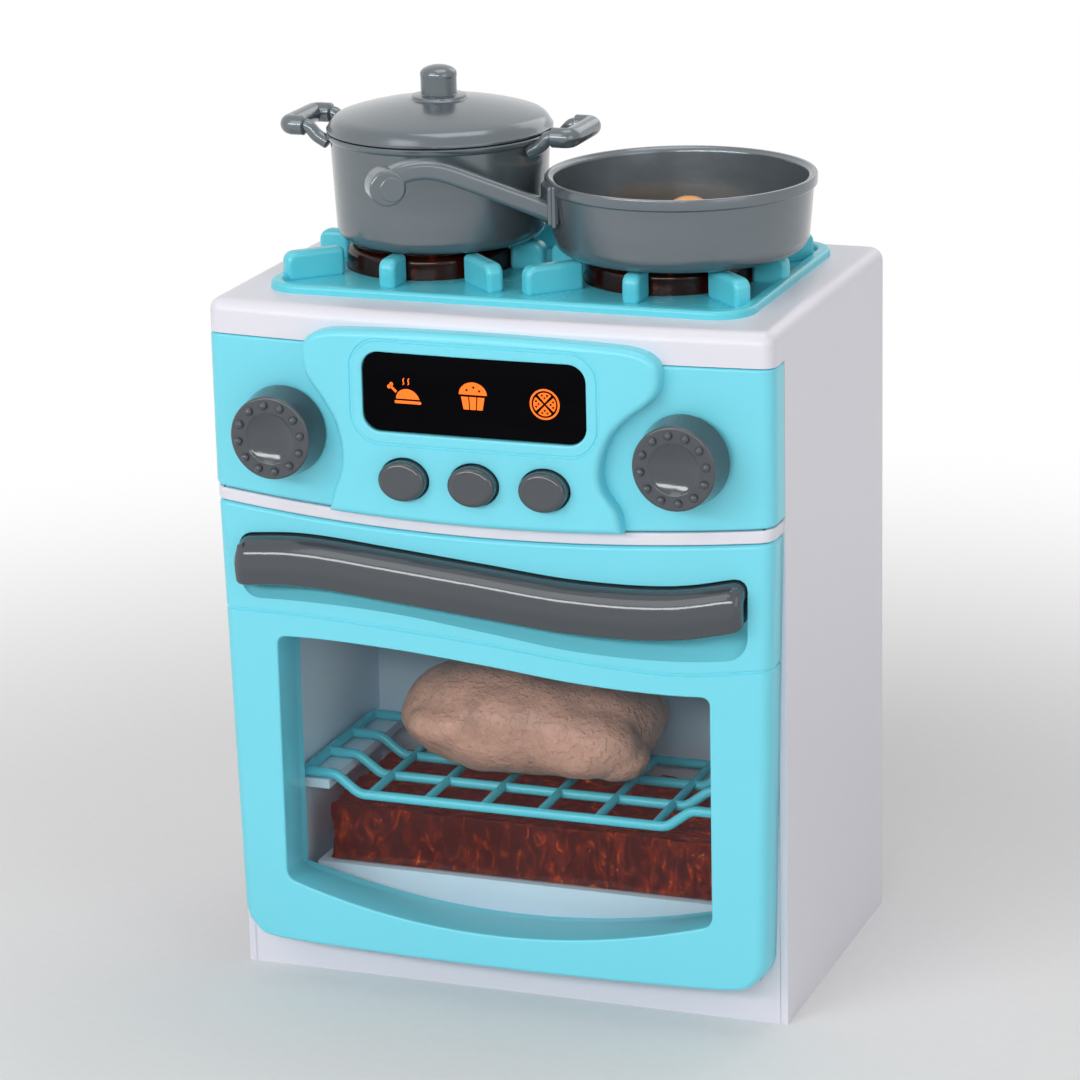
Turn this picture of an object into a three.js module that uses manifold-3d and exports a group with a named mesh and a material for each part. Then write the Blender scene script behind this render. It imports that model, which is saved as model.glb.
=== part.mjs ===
// Toy oven for a play kitchen, millimetres. X to the right, Y to the back, Z up.
// The origin is the middle of the base underside. A drop-down door, a pull-out rack with a
// roast, two turning knobs, three push buttons, and a pot, a pan and a fried egg on the hob.

import * as THREE from 'three';
import { mergeVertices } from 'three/addons/utils/BufferGeometryUtils.js';
import Module from 'manifold-3d';

// Casing
const bodyWidth = 180;
const bodyDepth = 122;
const frontBow = 5;
const shellWall = 2.4;
const cornerRadius = 4.5;
const plinthHeight = 14;
const stripHeight = 4.5;
const seamDip = 4.4;
const frontLayer = 11;
const fitGap = 0.3;
const seatGap = 0.3;
const cutOver = 1;

// Control panel
const panelHeight = 48.3;
const panelWall = 2.4;
const bulgeProud = 5.5;
const bulgeRise = 6.8;
const bulgeCornerRadius = 7;
const displayHeight = 24;
const displayRadius = 5.5;
const displayDrop = 12.4;
const displayThickness = 1.6;
const knobDrop = 28;
const buttonDrop = 38.8;
const buttonWidth = 15;
const buttonHeight = 12.4;
const buttonProud = 4;
const buttonTravel = 2;
const buttonClearance = 0.35;

// Knobs
const knobBaseRadius = 14;
const knobFaceRadius = 12.9;
const knobProud = 11;
const knobDishRadius = 7.4;
const knobDishDepth = 1.4;
const knobDots = 12;
const knobDotRadius = 1;
const knobDotRing = 10.1;
const knobDotProud = 0.6;
const shaftRadius = 3;
const shaftClearance = 0.35;
const knobSkirtGap = 0.4;
const clipRadius = 6;
const clipThickness = 1.8;

// Hob
const capHeight = 10.5;
const capEdgeRadius = 4.2;
const plateInset = 12.5;
const plateThickness = 2.5;
const plateSink = 0.8;
const plateFloor = 1.2;
const plateBorder = 4;
const burnerShift = -1.2;
const plateRadius = 12;
const plateSetback = 12;
const plateBackInset = 10;
const prongHeight = 6.6;
const prongMiddleGap = 1.2;
const prongLength = 11.1;
const prongLongExtra = 11.2;
const prongLongSetback = 3.1;
const prongWidth = 5.4;
const prongEdge = 2;
const prongRing = 8;
const lensGap = 0.4;
const lensHeight = 5;
const lensWall = 1.6;
const lensChamfer = 2.4;
const lightHoleRadius = 10;

// Door. A line lists drops below the door's top at evenly spread places across the front.
const doorHeight = 143.2;
const doorSideGap = 0.5;
const doorWall = 3;
const doorFaceWall = 4;
const doorTaperInset = 3;
const doorCornerCut = 10;
const windowInset = 20;
const windowLine = [43.7, 41.8, 42.3, 44.6, 47.8, 49.2, 48.2];
const windowSideFoot = 21;
const windowMiddleFoot = 11;
const windowWall = 2;
const handleThickness = 14.8;
const handleReach = 7;
const handleWall = 2.6;
const handleRound = 6;
const handleFoot = 0.8;
const handleEndWall = 3;
const handleCorner = 4;
const handleInset = 8.5;
const handleLine = [18.8, 16.1, 17.7, 20.2, 22.9, 22.7, 17.6];
const pocketLine = [31, 29.9, 30.6, 33.8, 37.5, 38.2, 36];
const pocketGap = 0.7;
const pocketDepth = 6;
const pocketWall = 1.6;
const ringDepth = 8.4;
const innerPlate = 2;
const ringWall = 2.4;
const paneThickness = 1.6;
const paneLip = 1.6;
const hingeHeight = 18.5;
const hingeSetback = 5;
const hingePinRadius = 2;
const hingePinLength = 20;
const hingeClearance = 0.3;
const hingeInset = 16.5;
const lugWidth = 7;
const lugRadius = 3.6;
const bossWidth = 6;
const bossRadius = 4.2;
const slotClearance = 0.7;

// Oven cavity
const cavityInset = 14;
const cavityFloor = 20;
const cavityTopDrop = 7.2;
const cavityBackRoom = 27.6;
const linerWall = 1.6;
const pedestalHeight = 11.3;
const pedestalSetback = 13;
const glowSideGap = 7;
const glowBackGap = 10.5;
const glowHeight = 20;
const glowWall = 1.8;
const glowInset = 1.5;
const railWidth = 11;
const railHeight = 3;
const wireRadius = 1.5;
const rackLevel = 55.6;
const rackSideGap = 6;
const rackEndLength = 18;
const rackBend = 7;
const rackRise = 6;
const rackShift = -4;
const rackPitch = 19;
const rackRods = 4;
const rackSetback = 24;
const rackBackGap = 11;

// Roast
const roastLength = 91;
const roastEndGap = 1.5;
const roastHeight = 38;
const roastShift = -9;

// Pot and lid
const cookwareShift = 2.8;
const potTaper = 1.4;
const potHeight = 33.4;
const potWall = 1.8;
const potRimProud = 1;
const potRimHeight = 1.6;
const potCornerRise = 3.5;
const potHandleReach = 12.3;
const potHandleHalf = 10.7;
const potHandleRadius = 3.1;
const potHandleRise = 1.1;
const potNeckRadius = 2.1;
const potNeckLength = 6.9;
const potNeckDrop = 3.5;
const lidThickness = 1.6;
const lidEdgeHeight = 1;
const lidShoulderRise = 3.2;
const lidShoulderInset = 2.6;
const lidDome = 5.5;
const lidKnobRadius = 5.7;
const lidKnobHeight = 10.5;
const lidCollarRadius = 8.6;
const lidCollarHeight = 1;
const lidSkirt = 2.4;

// Pan
const panTaper = 1.4;
const panHeight = 23.5;
const panWall = 1.8;
const panRimProud = 1;
const panRimHeight = 3.2;
const panCornerRise = 5;
const panHandleAngle = 215;
const panHandleHeight = 6.4;
const panHandleWidth = 7.6;
const panHandleRise = 14.8;
const panHandleFoot = 8.1;
const panHandleHook = 4.5;
const panBracketWidth = 9;
const panBracketDepth = 2.6;
const panBracketHeight = 12;
const hangRadius = 2.2;

// Fried egg
const eggThickness = 3.4;
const yolkHeight = 7.2;

// Rear cover, batteries and switch
const coverThickness = 2.4;
const screwInset = 6.6;
const screwLowHeight = 18;
const screwHighDrop = 18;
const screwRadius = 1;
const screwHeadRadius = 2.6;
const screwHeadHeight = 1.4;
const screwLength = 9;
const screwBore = 1.4;
const screwBossRadius = 4.4;
const screwBossLength = 12;
const cellRadius = 7.1;
const cellLength = 50;
const cellNubRadius = 2.6;
const cellNubLength = 1;
const cellPitch = 15.2;
const cellCount = 3;
const contactThickness = 0.8;
const contactRoom = 4.6;
const batteryHeight = 100;
const batteryWall = 1.8;
const batteryLedge = 6;
const batteryLip = 2;
const speakerRadius = 14;
const speakerDepth = 6;
const speakerDrop = 25;
const grilleSlots = 5;
const grilleSlotLength = 20;
const grilleSlotWidth = 2.2;
const grillePitch = 4.6;
const switchWidth = 8;
const switchHeight = 5;
const switchTravel = 4;
const switchProud = 1.6;
const switchFlange = 2;

// Electronics
const boardWidth = 86;
const boardHeight = 40;
const boardThickness = 1.6;
const padThickness = 2;
const boardGap = 9;
const postRadius = 3;
const ledRadius = 2.5;
const ledHeight = 5;
const ledBoard = 14;
const ledRowWidth = 60;
const ledRowPitch = 20;

// Shares of the half width, of the burner's place and of the pan's radius
const bulgeTopShare = 0.64444;
const bulgeWaistShare = 0.46667;
const bulgeFootShare = 0.52778;
const displayShare = 0.39111;
const knobShare = 0.71111;
const buttonShare = 0.24833;
const soundShare = 0.55556;
const burnerShare = 0.50581;
const potShare = 0.87245;
const panShare = 1.0357;
const panHandleShare = 1.2315;
const eggShare = 0.38177;
const eggSideShare = -0.064;
const eggBackShare = 0.36946;
const yolkShare = 0.51515;

// Levels and places that follow from the sizes above
const halfWidth = bodyWidth / 2;
const frontY = -bodyDepth / 2;
const backY = bodyDepth / 2;
const doorBottom = plinthHeight;
const doorTop = plinthHeight + doorHeight;
const panelBottom = doorTop + stripHeight;
const panelTop = panelBottom + panelHeight;
const capTop = panelTop + capHeight;
const plateTop = capTop + plateThickness;
const plateBottom = capTop - plateSink;
const trayFloor = plateBottom + plateFloor;
const prongTop = plateTop + prongHeight;
const bodyFaceY = frontY + frontLayer + fitGap;
const plateFrontY = frontY + plateSetback;
const plateDepth = bodyDepth - plateSetback - plateBackInset;
const burnerY = plateFrontY + plateDepth / 2;
const hingeY = frontY + hingeSetback;
const cookwareBase = prongTop + seatGap;
const rackFrontY = frontY + rackSetback;
const cavityFrontY = bodyFaceY + shellWall + fitGap;
const coverFrontY = backY - coverThickness;
const cavityBackY = coverFrontY - cavityBackRoom;
const cavityTop = doorTop - cavityTopDrop;
const rackDepth = cavityBackY - rackBackGap - rackFrontY;
const roastDepth = rackDepth - roastEndGap * 2;
const screwHighHeight = panelTop - screwHighDrop;
const bulgeTopHalf = halfWidth * bulgeTopShare;
const bulgeWaistHalf = halfWidth * bulgeWaistShare;
const bulgeFootHalf = halfWidth * bulgeFootShare;
const displayWidth = bodyWidth * displayShare;
const knobSpread = halfWidth * knobShare;
const buttonPitch = halfWidth * buttonShare;
const speakerShift = -halfWidth * soundShare;
const switchShift = halfWidth * soundShare;
const windowHalf = halfWidth - windowInset;
const handleEnd = halfWidth - handleInset;
const pocketHalf = handleEnd + pocketGap;
const hingeSpread = halfWidth - hingeInset;
const cavityHalf = halfWidth - cavityInset;
const glowHalf = cavityHalf - glowSideGap;
const rackHalf = cavityHalf - rackSideGap;
const rackFlatHalf = rackHalf - rackEndLength;
const screwSpread = halfWidth - screwInset;
const plateWidth = bodyWidth - plateInset * 2;
const burnerSpread = (plateWidth / 2) * burnerShare;
const prongShortOuter = burnerSpread - prongMiddleGap;
const prongLongOuter = prongShortOuter + prongLongExtra;
const prongInner = prongShortOuter - prongLength;
const burnerX = (side) => side * burnerSpread + burnerShift;
const cookwareX = (side) => side * burnerSpread + cookwareShift;
const lensRadius = prongInner - lensGap;
const potRadius = burnerSpread * potShare;
const potBaseRadius = potRadius - potTaper;
const panRadius = burnerSpread * panShare;
const panBaseRadius = panRadius - panTaper;
const panHandleLength = panRadius * panHandleShare;
const eggRadius = panRadius * eggShare;
const eggShift = panRadius * eggSideShare;
const eggSetback = panRadius * eggBackShare;
const yolkRadius = eggRadius * yolkShare;

// Outline steps
const bowSteps = 12;
const waveSteps = 14;
const roundSteps = 2;
const bulgeSteps = 5;
const edgeSteps = 3;
const dotSides = 6;
const wireSides = 8;
const latheSides = 28;
const smallSides = 14;
const ovalSides = 24;
const heelRadius = 5.9;

const colours = {
  white: [0xe6e5ee, 0.35],
  turquoise: [0x7de2f0, 0.35],
  hobTurquoise: [0x56cdd4, 0.35],
  graphite: [0x5c6268, 0.25],
  displayBlack: [0x0b0b0d, 0.12],
  amber: [0x7a2c10, 0.2],
  silver: [0x828a8f, 0.35],
  clear: [0xdfe8ee, 0.05],
  interior: [0x8b97ad, 0.5],
  roastBrown: [0xb28e7d, 0.5],
  eggWhite: [0xf4f1e8, 0.35],
  yolk: [0xf5a528, 0.3],
  steel: [0xb8bcc0, 0.3],
  board: [0x2c6b45, 0.6],
  rubber: [0xd8d8d2, 0.7],
  cell: [0x3a4a66, 0.4],
  black: [0x26282b, 0.6],
};

const wasm = await Module();
wasm.setup();

const oven = new THREE.Group();

// A closed manifold-3d solid from a closed three.js geometry.
function solid(geometry) {
  const bare = geometry.index ? geometry.toNonIndexed() : geometry.clone();
  for (const name of Object.keys(bare.attributes)) {
    if (name !== 'position') bare.deleteAttribute(name);
  }
  const merged = mergeVertices(bare);
  const index = merged.index.array;
  const triangles = [];
  for (let i = 0; i < index.length; i += 3) {
    const [a, b, c] = [index[i], index[i + 1], index[i + 2]];
    if (a !== b && b !== c && c !== a) triangles.push(a, b, c);
  }
  return new wasm.Manifold(new wasm.Mesh({
    numProp: 3,
    vertProperties: new Float32Array(merged.attributes.position.array),
    triVerts: new Uint32Array(triangles),
  }));
}

function join(parts) {
  return parts.reduce((whole, part) => whole.add(part));
}

// Adds a sub-part to a group as a named mesh.
function addPart(name, shape, look, parent = oven) {
  const mesh = shape.getMesh();
  const geometry = new THREE.BufferGeometry();
  geometry.setAttribute('position', new THREE.BufferAttribute(new Float32Array(mesh.vertProperties), 3));
  geometry.setIndex(new THREE.BufferAttribute(new Uint32Array(mesh.triVerts), 1));
  geometry.computeVertexNormals();
  const [color, roughness] = look;
  const metalness = look === colours.steel ? 1 : 0;
  const part = new THREE.Mesh(geometry, new THREE.MeshStandardMaterial({ color, roughness, metalness }));
  part.name = name;
  parent.add(part);
  return part;
}

// A group at a place, turned about X, for pieces drawn on their own axis.
function groupAt(x, y, z, turnX = 0, parent = oven) {
  const group = new THREE.Group();
  group.position.set(x, y, z);
  group.rotation.x = turnX;
  parent.add(group);
  return group;
}

function block(x0, x1, y0, y1, z0, z1) {
  const geometry = new THREE.BoxGeometry(x1 - x0, y1 - y0, z1 - z0);
  geometry.translate((x0 + x1) / 2, (y0 + y1) / 2, (z0 + z1) / 2);
  return solid(geometry);
}

// A plan outline in X and Y, raised from z0 to z1.
function raise(plan, z0, z1) {
  const geometry = new THREE.ExtrudeGeometry(plan, { depth: z1 - z0, bevelEnabled: false, curveSegments: roundSteps });
  geometry.translate(0, 0, z0);
  return solid(geometry);
}

// A front outline in X and Z, run from y0 to y1.
function runBackGeometry(outline, y0, y1, curveSegments = roundSteps) {
  const geometry = new THREE.ExtrudeGeometry(outline, { depth: y1 - y0, bevelEnabled: false, curveSegments });
  geometry.rotateX(Math.PI / 2);
  geometry.translate(0, y1, 0);
  return geometry;
}

function runBack(outline, y0, y1, curveSegments = roundSteps) {
  return solid(runBackGeometry(outline, y0, y1, curveSegments));
}

// A side outline in Y and Z, run from x0 to x1.
function runAcrossGeometry(outline, x0, x1) {
  const geometry = new THREE.ExtrudeGeometry(outline, { depth: x1 - x0, bevelEnabled: false, curveSegments: roundSteps });
  const turn = new THREE.Matrix4().makeBasis(
    new THREE.Vector3(0, 1, 0), new THREE.Vector3(0, 0, 1), new THREE.Vector3(1, 0, 0));
  geometry.applyMatrix4(turn);
  geometry.translate(x0, 0, 0);
  return geometry;
}

function runAcross(outline, x0, x1) {
  return solid(runAcrossGeometry(outline, x0, x1));
}

// A closed skin over rings of points, from the lowest ring to the highest.
function skin(rings) {
  const count = rings[0].length;
  const middles = [rings[0], rings[rings.length - 1]].map((ring) => (
    ring.reduce((sum, point) => sum.add(point), new THREE.Vector3()).divideScalar(count)));
  const index = [];
  const [foot, top] = [rings.length * count, (rings.length - 1) * count];
  for (let j = 0; j < count; j += 1) {
    const k = (j + 1) % count;
    index.push(foot, k, j, foot + 1, top + j, top + k);
    for (let low = 0; low < top; low += count) {
      const high = low + count;
      index.push(low + j, low + k, high + k, low + j, high + k, high + j);
    }
  }
  const geometry = new THREE.BufferGeometry().setFromPoints([...rings.flat(), ...middles]);
  geometry.setIndex(index);
  return solid(geometry);
}

// A convex plan raised from z0 to z1 with a rounded upper edge.
function softTop(planAt, z0, z1, edge) {
  const ringAt = (inset, z) => planAt(inset).getPoints(roundSteps).map((p) => new THREE.Vector3(p.x, p.y, z));
  const rings = [ringAt(0, z0)];
  for (let i = 0; i <= edgeSteps; i += 1) {
    const turn = (i / edgeSteps) * (Math.PI / 2);
    rings.push(ringAt(edge * (1 - Math.cos(turn)), z1 - edge * (1 - Math.sin(turn))));
  }
  return skin(rings);
}

// A turned shape about Z from a list of [radius, height].
function turned(profile, sides = latheSides) {
  const points = profile.map(([r, z]) => new THREE.Vector2(r, z));
  const geometry = new THREE.LatheGeometry(points, sides);
  geometry.rotateX(Math.PI / 2);
  return solid(geometry);
}

// A round bar between two points.
function bar(from, to, radius, sides = wireSides) {
  const a = new THREE.Vector3(...from);
  const b = new THREE.Vector3(...to);
  const run = new THREE.Vector3().subVectors(b, a);
  const geometry = new THREE.CylinderGeometry(radius, radius, run.length(), sides);
  const up = new THREE.Vector3(0, 1, 0);
  geometry.applyQuaternion(new THREE.Quaternion().setFromUnitVectors(up, run.clone().normalize()));
  geometry.translate((a.x + b.x) / 2, (a.y + b.y) / 2, (a.z + b.z) / 2);
  return solid(geometry);
}

function ball(x, y, z, radius, sides = wireSides) {
  const geometry = new THREE.SphereGeometry(radius, sides, sides / 2 + 1);
  geometry.translate(x, y, z);
  return solid(geometry);
}

// A bent wire: round bars that run a little past each inner bend.
function wire(points, radius) {
  const pieces = [];
  for (let i = 1; i < points.length; i += 1) {
    const [a, b] = [new THREE.Vector3(...points[i - 1]), new THREE.Vector3(...points[i])];
    const past = new THREE.Vector3().subVectors(b, a).setLength(radius / 2);
    if (i > 1) a.sub(past);
    if (i < points.length - 1) b.add(past);
    pieces.push(bar(a.toArray(), b.toArray(), radius, dotSides));
  }
  return join(pieces);
}

function roundedOutline(halfX, halfZ, radius, centreX = 0, centreZ = 0) {
  const outline = new THREE.Shape();
  const [left, right] = [centreX - halfX + radius, centreX + halfX - radius];
  const [low, high] = [centreZ - halfZ + radius, centreZ + halfZ - radius];
  outline.absarc(right, high, radius, 0, Math.PI / 2, false);
  outline.absarc(left, high, radius, Math.PI / 2, Math.PI, false);
  outline.absarc(left, low, radius, Math.PI, Math.PI * 1.5, false);
  outline.absarc(right, low, radius, Math.PI * 1.5, Math.PI * 2, false);
  return outline;
}

// The front of the oven bows forward, most in the middle.
function faceY(x) {
  return frontY - frontBow * (1 - (x / halfWidth) ** 2);
}

// A seam across the front dips in the middle.
function seamZ(level, x) {
  return level - seamDip * (1 - (x / halfWidth) ** 2);
}

// Height at a place across the front of one of the waved lines.
function heightAt(line, x) {
  const pitch = bodyWidth / (line.length - 1);
  const points = line.map((drop, i) => new THREE.Vector2(i * pitch - halfWidth, doorTop - drop));
  return new THREE.SplineCurve(points).getPoint((x + halfWidth) / bodyWidth).y;
}

// A plan with the bowed front, round front corners and a straight back.
function bowedPlan(half, back, proud, radius = cornerRadius) {
  const plan = new THREE.Shape();
  const flatHalf = half - radius;
  const slope = Math.atan((2 * frontBow * flatHalf) / halfWidth ** 2);
  const bowHalf = flatHalf + radius * Math.sin(slope);
  const cornerY = faceY(bowHalf) - proud + radius * Math.cos(slope);
  plan.moveTo(-half, back);
  plan.lineTo(-half, cornerY);
  plan.absarc(-flatHalf, cornerY, radius, Math.PI, Math.PI * 1.5 - slope, false);
  for (let i = 1; i < bowSteps; i += 1) {
    const x = -bowHalf + (2 * bowHalf * i) / bowSteps;
    plan.lineTo(x, faceY(x) - proud);
  }
  plan.absarc(flatHalf, cornerY, radius, -Math.PI / 2 + slope, 0, false);
  plan.lineTo(half, back);
  return plan;
}

// The band of a front outline between two edges that are functions of x.
function band(half, lower, upper, steps = bowSteps) {
  const outline = new THREE.Shape();
  outline.moveTo(-half, lower(-half));
  for (let i = 1; i <= steps; i += 1) {
    const x = -half + (2 * half * i) / steps;
    outline.lineTo(x, lower(x));
  }
  for (let i = steps; i >= 0; i -= 1) {
    const x = -half + (2 * half * i) / steps;
    outline.lineTo(x, upper(x));
  }
  return outline;
}

// A slab that follows the bowed front, between two depths behind it.
function frontSlab(half, proud, depth, z0, z1) {
  const outer = raise(bowedPlan(half, frontY + frontLayer, proud), z0, z1);
  const inner = raise(bowedPlan(half - shellWall, backY, proud - depth), z0 - cutOver, z1 + cutOver);
  return [outer, inner];
}

// Screw along Y: a round head to the back and a shank to the front.
function screw(length) {
  const head = turned([[0, 0], [screwHeadRadius, 0], [screwHeadRadius, screwHeadHeight / 2],
    [screwHeadRadius / 2, screwHeadHeight], [0, screwHeadHeight]], wireSides);
  const shank = turned([[0, -length], [screwRadius, -length], [screwRadius, cutOver / 2], [0, cutOver / 2]], wireSides);
  const slot = block(-screwHeadRadius * 0.7, screwHeadRadius * 0.7, -screwHeadHeight / 5, screwHeadHeight / 5,
    screwHeadHeight / 2, screwHeadHeight + cutOver);
  return head.add(shank).subtract(slot);
}

const rearScrewPlaces = [-screwSpread, screwSpread].flatMap((x) => [[x, screwLowHeight], [x, screwHighHeight]]);

// Casing: side walls, front frame with its openings, strip under the panel and hinge lugs.
function bodyShell() {
  const innerHalf = halfWidth - shellWall;
  const plan = new THREE.Shape();
  plan.moveTo(-halfWidth, bodyFaceY);
  plan.lineTo(halfWidth, bodyFaceY);
  plan.absarc(halfWidth - cornerRadius, backY - cornerRadius, cornerRadius, 0, Math.PI / 2, false);
  plan.absarc(-halfWidth + cornerRadius, backY - cornerRadius, cornerRadius, Math.PI / 2, Math.PI, false);
  let shell = raise(plan, 0, panelTop);
  shell = shell.subtract(block(-innerHalf, innerHalf, bodyFaceY + shellWall, backY + cutOver, -cutOver, panelTop + cutOver));
  shell = shell.subtract(block(-cavityHalf - fitGap, cavityHalf + fitGap, bodyFaceY - cutOver,
    bodyFaceY + shellWall + cutOver, cavityFloor, cavityTop));
  const roomTop = panelTop - shellWall * 2;
  shell = shell.subtract(block(-cavityHalf, cavityHalf, bodyFaceY - cutOver, bodyFaceY + shellWall + cutOver,
    panelBottom + shellWall, roomTop));
  const stripPlan = raise(bowedPlan(halfWidth - shellWall / 4, bodyFaceY + shellWall / 2, -shellWall / 4),
    doorTop - seamDip * 2, panelBottom + cutOver);
  const stripBand = runBack(band(halfWidth + cutOver, (x) => seamZ(doorTop, x) + fitGap * 2,
    (x) => seamZ(panelBottom, x) - fitGap), frontY - frontBow * 2, bodyFaceY + shellWall);
  shell = shell.add(stripPlan.intersect(stripBand));
  for (const side of [-1, 1]) {
    const lug = new THREE.Shape();
    lug.absarc(hingeY, hingeHeight, lugRadius, Math.PI / 2, Math.PI * 1.5, false);
    lug.lineTo(bodyFaceY + shellWall / 2, hingeHeight - lugRadius);
    lug.lineTo(bodyFaceY + shellWall / 2, Math.min(hingeHeight + lugRadius, cavityFloor));
    lug.lineTo(hingeY, hingeHeight + lugRadius);
    const x = side * hingeSpread;
    const pinHole = bar([x - lugWidth, hingeY, hingeHeight], [x + lugWidth, hingeY, hingeHeight],
      hingePinRadius + hingeClearance / 2, smallSides);
    shell = shell.add(runAcross(lug, x - lugWidth / 2, x + lugWidth / 2)).subtract(pinHole);
  }
  for (const [x, z] of rearScrewPlaces) {
    const bossBack = coverFrontY - fitGap;
    const boss = bar([x, bossBack - screwBossLength, z], [x, bossBack, z], screwBossRadius, smallSides);
    const rib = block(Math.min(x, Math.sign(x) * halfWidth) + (x < 0 ? shellWall / 2 : 0),
      Math.max(x, Math.sign(x) * halfWidth) - (x > 0 ? shellWall / 2 : 0),
      bossBack - screwBossLength, bossBack, z - shellWall / 2, z + shellWall / 2);
    const bore = bar([x, bossBack - screwBossLength - cutOver, z], [x, bossBack + cutOver, z], screwBore, wireSides);
    shell = shell.add(boss).add(rib).subtract(bore);
  }
  return shell;
}

// Floor plate inside the foot of the casing, flush with the underside.
function basePlate() {
  const half = halfWidth - shellWall - fitGap;
  const plate = block(-half, half, bodyFaceY + shellWall + fitGap, coverFrontY - fitGap, 0, shellWall);
  const ribs = [-1, 0, 1].map((side) => block(side * half * 0.5 - shellWall / 2, side * half * 0.5 + shellWall / 2,
    bodyFaceY + shellWall * 3, coverFrontY - shellWall * 3, shellWall / 2, cavityFloor - linerWall - fitGap));
  return join([plate, ...ribs]);
}

function platePlan(inset) {
  return roundedOutline(plateWidth / 2 - inset, plateDepth / 2 - inset, plateRadius - inset, 0, burnerY);
}

// Soft-edged cap that carries the hob plate, hollow below, with a light hole under each burner.
function hobCap() {
  const planAt = (inset) => bowedPlan(halfWidth - inset, backY - inset, -fitGap - inset, cornerRadius - inset);
  let cap = softTop(planAt, panelTop, capTop, capEdgeRadius);
  cap = cap.subtract(raise(bowedPlan(halfWidth - shellWall, backY - shellWall, -fitGap - shellWall),
    panelTop - cutOver, capTop - shellWall));
  for (const side of [-1, 1]) {
    const hole = bar([burnerX(side), burnerY, panelTop], [burnerX(side), burnerY, capTop + cutOver],
      lightHoleRadius, smallSides);
    cap = cap.subtract(hole);
  }
  return cap.subtract(raise(platePlan(-fitGap), plateBottom, capTop + cutOver));
}

// One prong of a pot support with rounded upper edges: every second prong is longer.
function prong(index, x) {
  const long = index % 2 === 1;
  const outward = index === (x < 0 ? prongRing / 2 : 0);
  const room = outward ? plateWidth / 2 - Math.abs(x) : prongLongOuter;
  const outer = Math.min(long ? prongLongOuter : prongShortOuter, room);
  const inner = long ? prongInner + prongLongSetback : prongInner;
  const half = prongWidth / 2;
  const [low, high] = [trayFloor - plateTop - plateFloor / 2, prongHeight];
  const side = new THREE.Shape();
  side.moveTo(inner, low);
  side.lineTo(outer, low);
  side.lineTo(outer, high - prongEdge * 2);
  side.quadraticCurveTo(outer, high, outer - prongEdge * 2, high);
  side.lineTo(inner + prongEdge / 2, high);
  side.lineTo(inner, high - prongEdge / 2);
  const across = new THREE.Shape();
  across.moveTo(-half, low);
  across.lineTo(half, low);
  across.lineTo(half, high - prongEdge);
  across.quadraticCurveTo(half, high, half - prongEdge, high);
  across.lineTo(-half + prongEdge, high);
  across.quadraticCurveTo(-half, high, -half, high - prongEdge);
  const pieces = [runBackGeometry(side, -half, half), runAcrossGeometry(across, inner, outer)].map((geometry) => {
    geometry.rotateZ((index * Math.PI * 2) / prongRing);
    geometry.translate(x, burnerY, plateTop);
    return solid(geometry);
  });
  return pieces[0].intersect(pieces[1]);
}

// Tray let into the cap, with two pot supports and a round opening for each burner lens.
function hobPlate() {
  let plate = softTop(platePlan, plateBottom, plateTop, plateThickness / 3);
  plate = plate.subtract(raise(platePlan(plateBorder), trayFloor, plateTop + cutOver));
  for (const side of [-1, 1]) {
    const x = burnerX(side);
    const opening = bar([x, burnerY, plateBottom - cutOver], [x, burnerY, plateTop + cutOver], lensRadius + fitGap, latheSides);
    plate = plate.subtract(opening);
    for (let i = 0; i < prongRing; i += 1) plate = plate.add(prong(i, x));
  }
  return plate;
}

// See-through burner cap, open below, with a chamfered edge.
function burnerLens() {
  const top = plateSink + plateThickness + lensHeight;
  const under = top - lensWall;
  return turned([
    [0, under], [lensRadius - lensChamfer - lensWall / 2, under], [lensRadius - lensWall, under - lensChamfer],
    [lensRadius - lensWall, 0], [lensRadius, 0], [lensRadius, top - lensChamfer], [lensRadius - lensChamfer, top], [0, top],
  ]);
}

// Front outline of the hourglass bulge.
function bulgeOutline(grow = 0) {
  const top = panelTop + bulgeRise + grow;
  const shoulder = panelTop - bulgeCornerRadius;
  const waist = panelTop - knobDrop;
  const foot = (x) => seamZ(panelBottom, x);
  const outline = new THREE.Shape();
  outline.moveTo(-bulgeFootHalf - grow, foot(bulgeFootHalf));
  for (let i = 1; i <= bowSteps; i += 1) {
    const x = (-1 + (2 * i) / bowSteps) * (bulgeFootHalf + grow);
    outline.lineTo(x, foot(x));
  }
  const waistHalf = bulgeWaistHalf + grow;
  const topHalf = bulgeTopHalf + grow;
  outline.quadraticCurveTo(waistHalf + 0, panelBottom + panelHeight / 6, waistHalf, waist);
  outline.bezierCurveTo(waistHalf, waist + panelHeight / 4, topHalf, waist + panelHeight / 4, topHalf, shoulder + bulgeCornerRadius / 2);
  outline.quadraticCurveTo(topHalf, top - bulgeCornerRadius / 3, topHalf - bulgeCornerRadius * 2, top - bulgeCornerRadius / 6);
  outline.quadraticCurveTo(0, top + bulgeCornerRadius / 6, -topHalf + bulgeCornerRadius * 2, top - bulgeCornerRadius / 6);
  outline.quadraticCurveTo(-topHalf, top - bulgeCornerRadius / 3, -topHalf, shoulder + bulgeCornerRadius / 2);
  outline.bezierCurveTo(-topHalf, waist + panelHeight / 4, -waistHalf, waist + panelHeight / 4, -waistHalf, waist);
  outline.quadraticCurveTo(-waistHalf, panelBottom + panelHeight / 6, -bulgeFootHalf - grow, foot(bulgeFootHalf));
  return outline;
}

const displayZ = panelTop - displayDrop;
const buttonZ = panelTop - buttonDrop;
const knobZ = panelTop - knobDrop;
const bulgeFaceY = faceY(0) - bulgeProud;
const displayFaceY = bulgeFaceY + panelWall / 2;

function ovalOutline(halfX, halfZ, centreX, centreZ) {
  return new THREE.Shape(new THREE.EllipseCurve(centreX, centreZ, halfX, halfZ).getPoints(ovalSides));
}

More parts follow.
